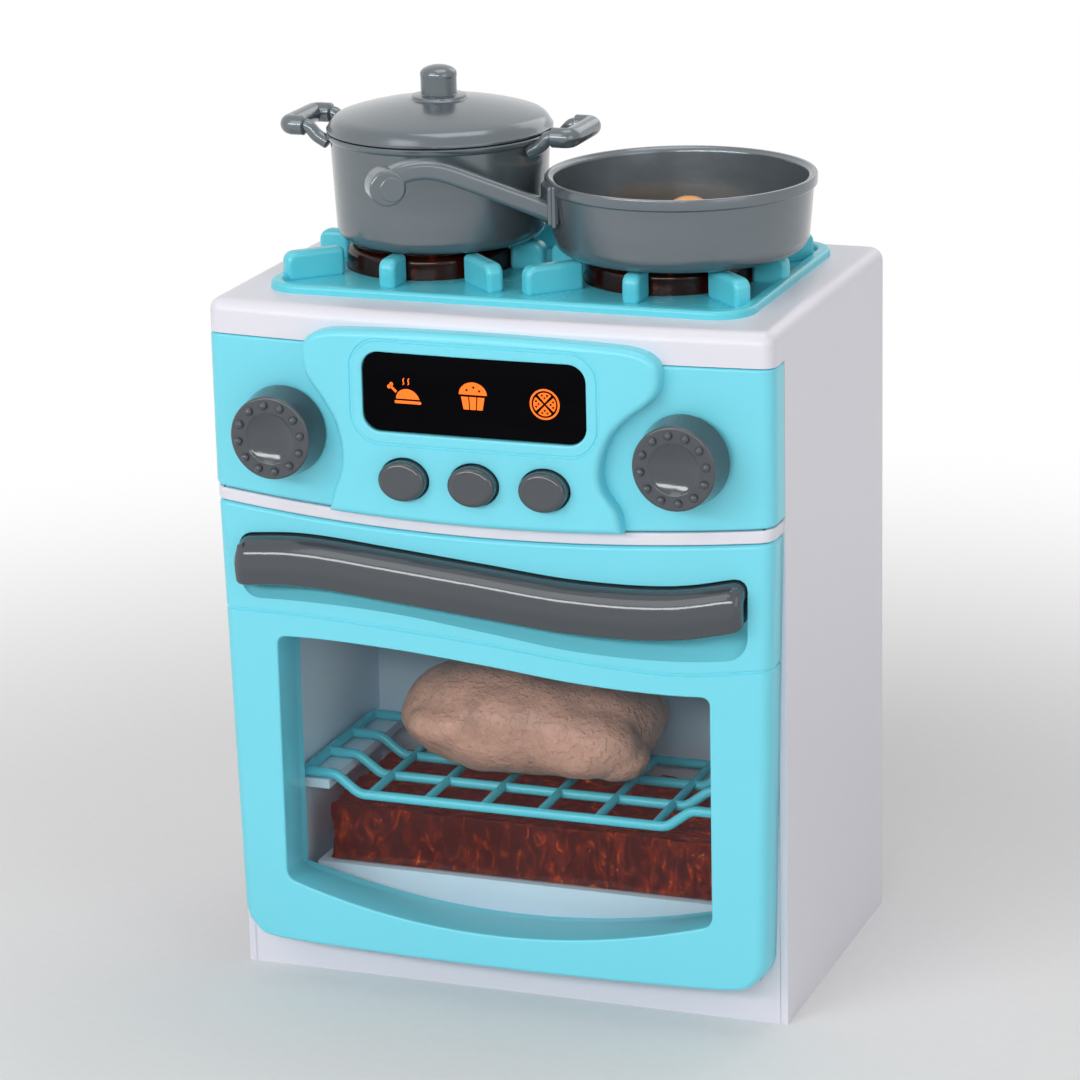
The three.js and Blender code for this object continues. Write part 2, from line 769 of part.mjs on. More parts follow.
// Panel: bowed front with side returns, the bulge, the display recess and the control holes.
function controlPanel() {
  const low = panelBottom - seamDip * 2;
  const high = panelTop + bulgeRise * 2;
  const reach = frontY - frontBow * 4;
  const edgeBand = runBack(band(halfWidth + cutOver, (x) => seamZ(panelBottom, x), () => panelTop - fitGap),
    reach, backY);
  const [outer, inner] = frontSlab(halfWidth, 0, panelWall, low, high);
  const skin = outer.intersect(edgeBand).subtract(inner);
  const bulgeFront = raise(bowedPlan(halfWidth, frontY + frontLayer, bulgeProud), low, high);
  const behindWall = raise(bowedPlan(halfWidth, backY, -panelWall), low, high);
  const bulge = runBack(bulgeOutline(), reach, frontY + frontLayer, bulgeSteps).intersect(bulgeFront).subtract(behindWall);
  const behindCap = raise(bowedPlan(halfWidth + cutOver, backY, 0), panelTop - fitGap, high);
  const hollow = raise(bowedPlan(halfWidth - shellWall, backY, bulgeProud - panelWall), low, panelTop - panelWall);
  const hollowOutline = runBack(bulgeOutline(-panelWall), reach, backY, bulgeSteps);
  let panel = skin.add(bulge.subtract(behindCap).subtract(hollow.intersect(hollowOutline)));
  const footWall = runBack(band(bulgeFootHalf, (x) => seamZ(panelBottom, x), (x) => seamZ(panelBottom, x) + panelWall),
    reach, frontY).intersect(bulgeFront);
  panel = panel.add(footWall.subtract(behindWall));
  const recess = runBack(roundedOutline(displayWidth / 2 + fitGap, displayHeight / 2 + fitGap, displayRadius, 0, displayZ),
    reach, bulgeFaceY + panelWall / 2 + displayThickness + fitGap);
  panel = panel.subtract(recess);
  const seat = runBack(roundedOutline(displayWidth / 2 + panelWall, displayHeight / 2 + panelWall, displayRadius, 0, displayZ),
    bulgeFaceY + panelWall / 2 + displayThickness + fitGap, bulgeFaceY + panelWall * 2 + displayThickness + fitGap);
  const seatClip = raise(bowedPlan(halfWidth, backY, 0), panelTop - fitGap, high);
  panel = panel.add(seat.subtract(seatClip));
  for (const step of [-1, 0, 1]) {
    const hole = ovalOutline(buttonWidth / 2 + buttonClearance, buttonHeight / 2 + buttonClearance, step * buttonPitch, buttonZ);
    panel = panel.subtract(runBack(hole, reach, frontY + frontLayer));
  }
  for (const side of [-1, 1]) {
    const x = side * knobSpread;
    panel = panel.subtract(bar([x, reach, knobZ], [x, frontY + frontLayer, knobZ], shaftRadius + shaftClearance, smallSides));
  }
  return panel;
}

// Display window: a flat glossy tile set into the bulge.
function displayWindow() {
  const outline = roundedOutline(displayWidth / 2, displayHeight / 2, displayRadius, 0, displayZ);
  return runBack(outline, displayFaceY, displayFaceY + displayThickness);
}

// Knob on its own axis, face towards +Z: skirt, dished face, a ring of dots and the shaft.
function knob(innerFace) {
  const profile = [
    [0, -innerFace], [shaftRadius, -innerFace], [shaftRadius, 0], [knobBaseRadius, 0],
    [knobBaseRadius, knobProud * 0.25], [knobFaceRadius, knobProud - knobDishDepth / 2],
    [knobFaceRadius - knobDishDepth / 2, knobProud], [knobDishRadius, knobProud],
    [knobDishRadius - knobDishDepth, knobProud - knobDishDepth], [0, knobProud - knobDishDepth * 1.3],
  ];
  const dots = [];
  for (let i = 0; i < knobDots; i += 1) {
    const angle = (i * Math.PI * 2) / knobDots;
    const [x, y] = [knobDotRing * Math.cos(angle), knobDotRing * Math.sin(angle)];
    dots.push(bar([x, y, knobProud - knobDotRadius], [x, y, knobProud + knobDotProud], knobDotRadius, dotSides));
  }
  return join([turned(profile, latheSides), ...dots]);
}

// Oval cap with a domed face and a round stem behind, face towards +Z.
function buttonCap(stemLength) {
  const rise = buttonProud - buttonTravel;
  const steps = [[1, -panelWall], [1, buttonTravel], [0.93, buttonTravel + rise * 0.55], [0.7, buttonTravel + rise * 0.85], [0, buttonProud]];
  const dome = new THREE.LatheGeometry([new THREE.Vector2(0, -panelWall),
    ...steps.map(([share, z]) => new THREE.Vector2(share * buttonWidth / 2, z))], latheSides);
  dome.rotateX(Math.PI / 2);
  dome.scale(1, buttonHeight / buttonWidth, 1);
  const stem = bar([0, 0, -stemLength], [0, 0, -panelWall / 2], shaftRadius, smallSides);
  return solid(dome).add(stem);
}

// Front outline of the door: straight sides that draw in below, cut lower corners.
function doorOutline(inset = 0) {
  const topHalf = halfWidth - doorSideGap - inset;
  const footHalf = topHalf - doorTaperInset;
  const low = doorBottom + inset;
  const outline = new THREE.Shape();
  outline.moveTo(-footHalf + doorCornerCut, low);
  outline.lineTo(footHalf - doorCornerCut, low);
  outline.quadraticCurveTo(footHalf, low, footHalf, low + doorCornerCut);
  for (let i = bowSteps; i >= 0; i -= 1) {
    const x = -topHalf + (2 * topHalf * i) / bowSteps;
    outline.lineTo(x, seamZ(doorTop, x) - inset);
  }
  outline.lineTo(-footHalf, low + doorCornerCut);
  outline.quadraticCurveTo(-footHalf, low, -footHalf + doorCornerCut, low);
  return outline;
}

// Outline of the window: a waved top edge, straight sides and a curved foot.
function windowOutline(grow = 0) {
  const half = windowHalf + grow;
  const sideFoot = plinthHeight + windowSideFoot - grow;
  const middleFoot = plinthHeight + windowMiddleFoot - grow;
  const outline = new THREE.Shape();
  outline.moveTo(-half, sideFoot);
  for (let i = 1; i < waveSteps; i += 1) {
    const x = -half + (2 * half * i) / waveSteps;
    outline.lineTo(x, middleFoot + (sideFoot - middleFoot) * (x / half) ** 2);
  }
  outline.lineTo(half, sideFoot);
  for (let i = waveSteps; i >= 0; i -= 1) {
    const x = -half + (2 * half * i) / waveSteps;
    outline.lineTo(x, heightAt(windowLine, x) + grow);
  }
  outline.lineTo(-half, sideFoot);
  return outline;
}

function handleZ(x) {
  return heightAt(handleLine, x);
}

// Pocket round the handle, as a front outline: its lower edge leaves room for fingers.
function pocketOutline(grow = 0) {
  const top = handleThickness / 2 + pocketGap + grow;
  return band(pocketHalf + grow, (x) => heightAt(pocketLine, x) - grow, (x) => handleZ(x) + top, waveSteps * 2);
}

// Door front: a shell with the window, the pocket round the handle and the hinge bosses.
function doorFrame() {
  const reach = frontY - frontBow * 2;
  const rear = frontY + frontLayer;
  const [low, high] = [doorBottom - cutOver, doorTop + cutOver];
  const outer = raise(bowedPlan(halfWidth - doorSideGap, rear, 0), low, high);
  let door = runBack(doorOutline(), reach, rear).intersect(outer);
  const hollowOutline = doorOutline(doorWall);
  hollowOutline.holes.push(windowOutline(windowWall));
  const hollow = raise(bowedPlan(halfWidth, rear + cutOver, -doorFaceWall), low, high);
  const pocketBack = runBack(pocketOutline(pocketWall), reach, rear)
    .subtract(raise(bowedPlan(halfWidth, backY, -pocketDepth - pocketWall), low, high));
  door = door.subtract(runBack(hollowOutline, reach, rear + cutOver).intersect(hollow).subtract(pocketBack));
  door = door.subtract(runBack(windowOutline(), reach, rear + cutOver));
  const pocketFloor = raise(bowedPlan(halfWidth, backY, -pocketDepth), low, high);
  const pocket = runBack(pocketOutline(), reach, frontY + pocketDepth + cutOver);
  door = door.subtract(pocket.subtract(pocketFloor));
  const heel = block(-bodyWidth, bodyWidth, hingeY, rear + cutOver, low, hingeHeight);
  door = door.subtract(heel.subtract(bar([-bodyWidth - cutOver, hingeY, hingeHeight], [bodyWidth + cutOver, hingeY, hingeHeight],
    heelRadius, latheSides)));
  for (const side of [-1, 1]) {
    const x = side * hingeSpread;
    const bossShape = new THREE.Shape();
    bossShape.absarc(hingeY, hingeHeight, bossRadius, -Math.PI / 2, Math.PI / 2, false);
    bossShape.lineTo(frontY + cutOver, hingeHeight + bossRadius);
    bossShape.lineTo(frontY + cutOver, hingeHeight - bossRadius);
    for (const end of [-1, 1]) {
      const middle = x + end * (lugWidth / 2 + slotClearance + bossWidth / 2);
      const boss = runAcross(bossShape, middle - bossWidth / 2, middle + bossWidth / 2);
      door = door.add(boss.intersect(outer).intersect(runBack(doorOutline(), reach, rear)));
    }
    door = door.subtract(bar([x - hingePinLength / 2 - fitGap, hingeY, hingeHeight],
      [x + hingePinLength / 2 + fitGap, hingeY, hingeHeight], hingePinRadius + hingeClearance, smallSides));
    const slotHalf = lugWidth / 2 + slotClearance;
    door = door.subtract(block(x - slotHalf, x + slotHalf, hingeY - lugRadius - slotClearance, rear + cutOver,
      low - cutOver, hingeHeight + lugRadius + slotClearance * 2));
  }
  return door;
}

// Plate behind the door shell with a deep ring round the window, which holds the pane.
function doorInnerFrame() {
  const plateY = frontY + frontLayer - innerPlate - fitGap;
  const ringBack = frontY + frontLayer + ringDepth;
  const hold = windowOutline(windowWall + ringWall);
  const pass = windowOutline(windowWall / 2);
  const plateOutline = doorOutline(doorWall + fitGap);
  let frame = runBack(plateOutline, plateY, plateY + innerPlate);
  frame = frame.subtract(block(-halfWidth, halfWidth, plateY - cutOver, plateY + innerPlate + cutOver,
    0, hingeHeight + bossRadius + slotClearance * 2));
  frame = frame.add(runBack(hold, plateY, ringBack));
  frame = frame.subtract(runBack(windowOutline(windowWall + fitGap), plateY - cutOver, frontY + frontLayer + fitGap));
  frame = frame.subtract(runBack(pass, plateY - cutOver, ringBack + cutOver));
  const paneRoom = paneThickness + fitGap * 2;
  frame = frame.subtract(runBack(windowOutline(windowWall / 2 + paneLip), ringBack - paneRoom, ringBack + cutOver));
  return frame;
}

function doorWindow() {
  const ringBack = frontY + frontLayer + ringDepth;
  const outline = windowOutline(windowWall / 2 + paneLip - fitGap);
  return runBack(outline, ringBack - paneThickness - fitGap, ringBack - fitGap);
}

// Section of the handle: X is the depth from the door's face, Y the height. Open below unless closed.
function handleSection(closed) {
  const [half, front, back] = [handleThickness / 2, -handleReach, pocketDepth - seatGap];
  const section = new THREE.Shape();
  section.moveTo(front + handleFoot, -half);
  section.lineTo(front, -half + handleFoot);
  section.lineTo(front, half - handleRound);
  section.quadraticCurveTo(front, half, front + handleRound, half);
  section.lineTo(back, half);
  if (closed) {
    section.lineTo(back, -half);
    return section;
  }
  section.lineTo(back, half - handleWall);
  section.lineTo(front + handleWall * 2, half - handleWall);
  section.lineTo(front + handleWall, half - handleWall * 2);
  section.lineTo(front + handleWall, -half);
  return section;
}

// A section run along the handle's wave from x0 to x1.
function alongHandle(section, x0, x1, steps) {
  const geometry = new THREE.ExtrudeGeometry(section,
    { depth: x1 - x0, steps, bevelEnabled: false, curveSegments: edgeSteps });
  const place = geometry.attributes.position;
  for (let i = 0; i < place.count; i += 1) {
    const x = x0 + place.getZ(i);
    place.setXYZ(i, x, faceY(x) + place.getX(i), handleZ(x) + place.getY(i));
  }
  return solid(geometry);
}

// Handle: a waved grip with a large round upper edge, open below, set into the door's pocket.
function doorHandle() {
  const handle = join([alongHandle(handleSection(false), -handleEnd, handleEnd, waveSteps * 2),
    alongHandle(handleSection(true), -handleEnd, -handleEnd + handleEndWall, 1),
    alongHandle(handleSection(true), handleEnd - handleEndWall, handleEnd, 1)]);
  const ends = new THREE.Shape();
  const low = handleZ(0) - handleThickness * 2;
  const high = handleZ(0) + handleThickness * 2;
  const cornerZ = (x) => handleZ(x) + handleThickness / 2;
  ends.moveTo(-handleEnd, low);
  ends.lineTo(handleEnd, low);
  ends.lineTo(handleEnd, cornerZ(handleEnd) - handleCorner);
  ends.quadraticCurveTo(handleEnd, cornerZ(handleEnd), handleEnd - handleCorner, cornerZ(handleEnd));
  ends.lineTo(handleEnd - handleCorner, high);
  ends.lineTo(-handleEnd + handleCorner, high);
  ends.lineTo(-handleEnd + handleCorner, cornerZ(-handleEnd));
  ends.quadraticCurveTo(-handleEnd, cornerZ(-handleEnd), -handleEnd, cornerZ(-handleEnd) - handleCorner);
  return handle.intersect(runBack(ends, frontY - frontBow * 4, backY, edgeSteps));
}

// Inner liner of the cavity: an open box with the step for the glow bed and the rack rails.
function cavityLiner() {
  const wall = linerWall;
  const outer = block(-cavityHalf - wall, cavityHalf + wall, cavityFrontY, cavityBackY + wall, cavityFloor - wall, cavityTop + wall);
  const inner = block(-cavityHalf, cavityHalf, cavityFrontY - cutOver, cavityBackY, cavityFloor, cavityTop);
  const step = block(-glowHalf - wall, glowHalf + wall, frontY + frontLayer + pedestalSetback, cavityBackY + wall / 2,
    cavityFloor - wall / 2, cavityFloor + pedestalHeight);
  const railTop = rackLevel + rackRise - wireRadius - seatGap;
  const rails = [-1, 1].map((side) => {
    const [a, b] = [side * (cavityHalf - railWidth), side * (cavityHalf + wall / 2)];
    return block(Math.min(a, b), Math.max(a, b), cavityFrontY + ringDepth, cavityBackY + wall / 2, railTop - railHeight, railTop);
  });
  const under = block(-glowHalf, glowHalf, frontY + frontLayer + pedestalSetback + wall, cavityBackY - wall,
    cavityFloor - wall - cutOver, cavityFloor + pedestalHeight - wall);
  return join([outer.subtract(inner), step, ...rails]).subtract(under);
}

const glowFrontY = frontY + frontLayer + pedestalSetback + glowInset;
const glowBase = cavityFloor + pedestalHeight + seatGap;
const glowDepth = cavityBackY - glowBackGap - glowFrontY;

// Ember bed: a see-through hood with small ridges on its top, lit from inside.
function glowBed() {
  const half = glowHalf - glowInset;
  const top = glowBase + glowHeight;
  const hood = block(-half, half, glowFrontY, glowFrontY + glowDepth, glowBase, top);
  const room = block(-half + glowWall, half - glowWall, glowFrontY + glowWall, glowFrontY + glowDepth - glowWall,
    glowBase - cutOver, top - glowWall);
  return hood.subtract(room);
}

// Row of three lights on a narrow board under the ember bed.
function glowLights() {
  const y = glowFrontY + glowDepth / 2;
  const base = glowBase;
  const strip = block(-ledRowWidth / 2, ledRowWidth / 2, y - ledBoard / 2, y + ledBoard / 2, base, base + boardThickness);
  const lamps = [-1, 0, 1].map((step) => lamp(step * ledRowPitch, y, base + boardThickness));
  return join([strip, ...lamps]);
}

// Round-topped lamp standing on a board.
function lamp(x, y, z) {
  const stem = bar([x, y, z - boardThickness / 2], [x, y, z + ledHeight - ledRadius], ledRadius);
  return stem.add(ball(x, y, z + ledHeight - ledRadius, ledRadius));
}

// Wire rack: rods across with raised ends on two side rails, and rods front to back.
function rack() {
  const pieces = [];
  const high = rackLevel + rackRise;
  for (let i = 0; i < rackRods; i += 1) {
    const y = rackFrontY + (i * rackDepth) / (rackRods - 1);
    const across = [[-rackHalf, high], [-rackFlatHalf - rackBend, high], [-rackFlatHalf, rackLevel],
      [rackFlatHalf, rackLevel], [rackFlatHalf + rackBend, high], [rackHalf, high]];
    pieces.push(wire(across.map(([x, z]) => [x + rackShift, y, z]), wireRadius));
  }
  for (const side of [-1, 1]) {
    const x = side * rackHalf + rackShift;
    pieces.push(wire([[x, rackFrontY - wireRadius, high], [x, rackFrontY + rackDepth + wireRadius, high]], wireRadius));
  }
  const lengthwise = Math.floor((rackFlatHalf * 2) / rackPitch);
  for (let i = 0; i <= lengthwise; i += 1) {
    const x = rackShift + (i - lengthwise / 2) * rackPitch;
    pieces.push(wire([[x, rackFrontY, rackLevel + wireRadius / 4], [x, rackFrontY + rackDepth, rackLevel + wireRadius / 4]],
      wireRadius * 0.9));
  }
  return join(pieces);
}

// Roast joint: a lumpy rounded loaf with a flat underside.
function roast() {
  const geometry = new THREE.SphereGeometry(1, latheSides * 0.75, smallSides);
  const place = geometry.attributes.position;
  const point = new THREE.Vector3();
  for (let i = 0; i < place.count; i += 1) {
    point.fromBufferAttribute(place, i);
    const lump = 1 + 0.045 * Math.sin(3 * point.x + 1) * Math.cos(2.4 * point.y) + 0.03 * Math.sin(5 * point.z + 2 * point.x);
    const taper = 1 - 0.16 * point.x * point.x - 0.07 * point.x;
    place.setXYZ(i, point.x * lump * roastLength / 2, point.y * lump * taper * roastDepth / 2,
      point.z * lump * taper * roastHeight * 0.56);
  }
  geometry.translate(0, 0, roastHeight * 0.46);
  const slab = block(-roastLength, roastLength, -roastDepth, roastDepth, 0, roastHeight * 2);
  return solid(geometry).intersect(slab);
}

// Pot: turned bowl with a small lip and a loop handle on each side that rises over it.
function pot() {
  const inner = potRadius - potWall;
  const floorRadius = potBaseRadius - potWall;
  const corner = (radius, z) => [[radius - potCornerRise, z], [radius - potCornerRise * 0.3, z + potCornerRise * 0.3],
    [radius, z + potCornerRise]];
  const bowl = turned([
    [0, 0], ...corner(potBaseRadius, 0), [potRadius, potHeight - potRimHeight],
    [potRadius + potRimProud, potHeight - potRimHeight], [potRadius + potRimProud, potHeight], [0, potHeight],
  ]);
  const room = turned([
    [0, potWall], ...corner(floorRadius, potWall), [inner, potHeight - potRimHeight], [inner, potHeight + cutOver],
    [0, potHeight + cutOver],
  ]);
  const z = potHeight + potHandleRise;
  const loops = [-1, 1].map((side) => {
    const reach = side * (potRadius + potHandleReach);
    const step = side * (potRadius + potNeckLength);
    const root = potRadius - potWall / 3;
    const arms = [-1, 1].map((end) => {
      const y = end * potHandleHalf;
      const rootX = side * Math.sqrt((root * root) - (y * y));
      return join([bar([rootX, y, potHeight - potNeckDrop], [step, y, z], potNeckRadius),
        bar([step, y, z], [reach, y, z], potHandleRadius), ball(reach, y, z, potHandleRadius)]);
    });
    const grip = bar([reach, -potHandleHalf, z], [reach, potHandleHalf, z], potHandleRadius);
    return join([grip, ...arms]);
  });
  return join([bowl, ...loops]).subtract(room);
}

// Lid: shallow dome on a shouldered edge, with a skirt that drops into the pot, a collar and a knob.
function potLid() {
  const edge = potRadius + potRimProud;
  const skirtRadius = potRadius - potWall - fitGap;
  const shoulder = lidEdgeHeight + lidShoulderRise;
  const domeRadius = edge - lidShoulderInset;
  const top = shoulder + lidDome;
  const domeAt = (share) => shoulder + lidDome * Math.cos((share * Math.PI) / 2) ** 0.8;
  const shares = [1, 0.85, 0.65, 0.45];
  const knobBase = top - lidThickness / 4;
  const knobTop = knobBase + lidKnobHeight;
  return turned([
    [0, top - lidThickness], ...[0.45, 0.7].map((share) => [domeRadius * share, domeAt(share) - lidThickness]),
    [skirtRadius - potWall, shoulder - lidThickness], [skirtRadius - potWall, -lidSkirt],
    [skirtRadius, -lidSkirt], [skirtRadius, 0], [edge, 0], [edge, lidEdgeHeight],
    [edge - lidShoulderInset * 0.35, lidEdgeHeight + lidShoulderRise * 0.6],
    ...shares.map((share) => [domeRadius * share, domeAt(share)]),
    [lidCollarRadius, knobBase], [lidCollarRadius, knobBase + lidCollarHeight],
    [lidKnobRadius, knobBase + lidCollarHeight], [lidKnobRadius, knobTop - lidKnobRadius * 0.42],
    [lidKnobRadius * 0.86, knobTop - lidKnobRadius * 0.14], [lidKnobRadius * 0.5, knobTop], [0, knobTop],
  ]);
}

// Frying pan: shallow turned bowl with a small lip and the bracket for its handle.
function pan() {
  const inner = panRadius - panWall;
  const floorRadius = panBaseRadius - panWall;
  const corner = (radius, z) => [[radius - panCornerRise, z], [radius - panCornerRise * 0.3, z + panCornerRise * 0.3],
    [radius, z + panCornerRise]];
  const bowl = turned([
    [0, 0], ...corner(panBaseRadius, 0), [panRadius, panHeight - panRimHeight],
    [panRadius + panRimProud, panHeight - panRimHeight], [panRadius + panRimProud, panHeight], [inner, panHeight],
    ...corner(floorRadius, panWall).reverse(), [0, panWall],
  ]);
  const angle = THREE.MathUtils.degToRad(panHandleAngle);
  const bracket = new THREE.BoxGeometry(panBracketDepth + panWall, panBracketWidth, panBracketHeight);
  bracket.translate(panRadius + panBracketDepth / 2 - panWall / 2, 0, panHeight - panBracketHeight / 2 - panRimHeight / 4);
  bracket.rotateZ(angle);
  return bowl.add(solid(bracket));
}

// Pan handle in its own plane: X runs outwards from the bracket, Z up, with an eye at the hooked tip.
function panHandle() {
  const start = panRadius + panBracketDepth + fitGap;
  const foot = panHeight - panHandleFoot;
  const shares = [[-0.05, -0.07], [0.22, 0.34], [0.42, 0.64], [0.66, 0.97], [0.84, 1], [1, 0.78]];
  const path = new THREE.CatmullRomCurve3(shares.map(([along, up]) => (
    new THREE.Vector3(start + along * panHandleLength, 0, foot + up * panHandleRise))));
  const section = roundedOutline(panHandleHeight / 2, panHandleWidth / 2, panHandleHeight / 4);
  const geometry = new THREE.ExtrudeGeometry(section, { steps: waveSteps, extrudePath: path, curveSegments: 1 });
  const tip = path.getPoint(1);
  const eye = bar([tip.x, -panHandleWidth / 2, tip.z], [tip.x, panHandleWidth / 2, tip.z], panHandleHook, smallSides);
  const hole = bar([tip.x, -panHandleWidth, tip.z], [tip.x, panHandleWidth, tip.z], hangRadius, smallSides);
  const bracketSide = block(0, start, -panHandleWidth, panHandleWidth, 0, panHeight * 2);
  return solid(geometry).add(eye).subtract(hole).subtract(bracketSide);
}

// Egg white: a low uneven disc with a soft edge.
function eggWhite() {
  const geometry = new THREE.LatheGeometry([[0, 0], [0.96, 0], [1, 0.35], [0.93, 0.75], [0.7, 1], [0, 1]]
    .map(([r, z]) => new THREE.Vector2(r * eggRadius, z * eggThickness)), latheSides);
  geometry.rotateX(Math.PI / 2);
  const place = geometry.attributes.position;
  for (let i = 0; i < place.count; i += 1) {
    const angle = Math.atan2(place.getY(i), place.getX(i));
    const spread = 1 + 0.07 * Math.sin(3 * angle + 0.6) + 0.04 * Math.sin(5 * angle);
    place.setXY(i, place.getX(i) * spread, place.getY(i) * spread);
  }
  return solid(geometry);
}

function eggYolk() {
  const rings = [];
  for (let i = 0; i <= roundSteps; i += 1) {
    const angle = (i / roundSteps) * (Math.PI / 2);
    rings.push([yolkRadius * Math.cos(angle), yolkHeight * Math.sin(angle)]);
  }
  rings[roundSteps][0] = 0;
  return turned([[0, 0], ...rings], latheSides);
}

const cellRoom = cellLength + cellNubLength + contactRoom * 2;
const bayHalfX = cellRoom / 2;
const bayHalfZ = (cellPitch * cellCount) / 2 + fitGap;
const bayDepth = cellRadius * 2 + fitGap * 3;
const lidHalfX = bayHalfX + batteryLedge;
const lidHalfZ = bayHalfZ + batteryLip;
const batteryScrewX = bayHalfX + batteryLedge / 2;
const grilleZ = panelTop - speakerDrop;

// Rear cover with the battery bay, the sound slots, the switch slot and the screw holes.
function rearCover() {
  const half = halfWidth - shellWall - fitGap;
  let cover = block(-half, half, coverFrontY, backY, fitGap, panelTop - fitGap);
  const bayFront = coverFrontY - bayDepth;
  cover = cover.add(block(-lidHalfX - batteryWall, lidHalfX + batteryWall, bayFront - batteryWall, coverFrontY + coverThickness / 2,
    batteryHeight - lidHalfZ - batteryWall, batteryHeight + lidHalfZ + batteryWall));
  cover = cover.subtract(block(-bayHalfX, bayHalfX, bayFront, backY + cutOver, batteryHeight - bayHalfZ, batteryHeight + bayHalfZ));
  cover = cover.subtract(block(-lidHalfX, lidHalfX, coverFrontY, backY + cutOver, batteryHeight - lidHalfZ, batteryHeight + lidHalfZ));
  for (let i = 0; i < grilleSlots; i += 1) {
    const z = grilleZ + (i - (grilleSlots - 1) / 2) * grillePitch;
    const slot = roundedOutline(grilleSlotLength / 2, grilleSlotWidth / 2, grilleSlotWidth / 2.1, speakerShift, z);
    cover = cover.subtract(runBack(slot, coverFrontY - cutOver, backY + cutOver));
  }
  const slotHalf = (switchWidth + switchTravel) / 2 + fitGap;
  cover = cover.subtract(block(switchShift - slotHalf, switchShift + slotHalf, coverFrontY - cutOver, backY + cutOver,
    grilleZ - switchHeight / 2 - fitGap, grilleZ + switchHeight / 2 + fitGap));
  for (const [x, z] of rearScrewPlaces) {
    cover = cover.subtract(bar([x, coverFrontY - cutOver, z], [x, backY + cutOver, z], screwBore, smallSides));
  }
  cover = cover.subtract(bar([batteryScrewX, coverFrontY - screwLength - cutOver, batteryHeight],
    [batteryScrewX, backY + cutOver, batteryHeight], screwBore, smallSides));
  return cover;
}

function batteryCover() {
  const seat = coverFrontY + seatGap;
  const outer = backY - seatGap;
  let cover = block(-lidHalfX + fitGap, lidHalfX - fitGap, seat, outer,
    batteryHeight - lidHalfZ + fitGap, batteryHeight + lidHalfZ - fitGap);
  cover = cover.subtract(bar([batteryScrewX, seat - cutOver, batteryHeight], [batteryScrewX, outer + cutOver, batteryHeight],
    screwBore, smallSides));
  const ridge = coverThickness / 4;
  for (let i = -2; i <= 2; i += 1) {
    const x = -lidHalfX + batteryLedge + (i + 2) * batteryLip * 1.5;
    cover = cover.subtract(block(x, x + ridge, outer - ridge, outer + cutOver, batteryHeight - bayHalfZ / 2, batteryHeight + bayHalfZ / 2));
  }
  return cover;
}

// One cell along X with its raised end, turned round for every second cell.
function battery(index) {
  const flip = index % 2 === 0 ? 1 : -1;
  const z = batteryHeight + (index - (cellCount - 1) / 2) * cellPitch;
  const y = coverFrontY - cellRadius - fitGap;
  const half = cellLength / 2;
  const can = bar([-half, y, z], [half, y, z], cellRadius, smallSides);
  return can.add(bar([flip * (half - cutOver), y, z], [flip * (half + cellNubLength), y, z], cellNubRadius, smallSides));
}

// Spring contact plate at one end of the battery bay.
function contactPlate(side) {
  const y0 = coverFrontY - bayDepth + fitGap * 2;
  const y1 = coverFrontY - fitGap * 4;
  const outer = side * (bayHalfX - fitGap);
  const inner = side * (bayHalfX - fitGap - contactThickness);
  const plate = block(Math.min(outer, inner), Math.max(outer, inner), y0, y1, batteryHeight - bayHalfZ + fitGap, batteryHeight + bayHalfZ - fitGap);
  const reach = side * (cellLength / 2 + cellNubLength + fitGap);
  const noses = [];
  for (let i = 0; i < cellCount; i += 1) {
    const z = batteryHeight + (i - (cellCount - 1) / 2) * cellPitch;
    noses.push(bar([inner + side * contactThickness / 2, (y0 + y1) / 2, z], [reach, (y0 + y1) / 2, z], cellNubRadius, smallSides));
  }
  return join([plate, ...noses]);
}

// Speaker: a shallow can with its cone side to the rear cover.
function speaker() {
  const rim = speakerRadius;
  return turned([[0, 0], [rim * 0.5, 0], [rim * 0.55, speakerDepth * 0.4], [rim, speakerDepth * 0.75], [rim, speakerDepth],
    [rim * 0.85, speakerDepth], [rim * 0.3, speakerDepth * 0.8], [0, speakerDepth * 0.8]], latheSides);
}

// Retaining frame that clamps the speaker to the rear cover.
function speakerClamp() {
  const back = coverFrontY - seatGap;
  const half = speakerRadius + shellWall;
  const base = block(speakerShift - half, speakerShift + half, back - speakerDepth, back, grilleZ - half, grilleZ + half);
  return base.subtract(bar([speakerShift, back - speakerDepth * 2, grilleZ], [speakerShift, back + cutOver, grilleZ],
    speakerRadius + fitGap, latheSides));
}

// Slide switch knob with the flange that keeps it behind its slot.
function powerSwitch() {
  const x = switchShift - switchTravel / 2;
  const flangeBack = coverFrontY - seatGap;
  const cap = block(x - switchWidth / 2, x + switchWidth / 2, flangeBack - switchFlange / 2, backY + switchProud,
    grilleZ - switchHeight / 2, grilleZ + switchHeight / 2);
  const flange = block(x - switchWidth / 2 - switchTravel, x + switchWidth / 2 + switchTravel, flangeBack - switchFlange, flangeBack,
    grilleZ - switchHeight / 2 - switchFlange, grilleZ + switchHeight / 2 + switchFlange);
  let slider = flange.add(cap);
  for (const step of [-1, 0, 1]) {
    const groove = switchFlange / 2;
    const at = x + step * groove * 2;
    slider = slider.subtract(block(at - groove / 2, at + groove / 2, backY + switchProud - groove / 2, backY + switchProud + cutOver,
      grilleZ - switchHeight, grilleZ + switchHeight));
  }
  return slider;
}

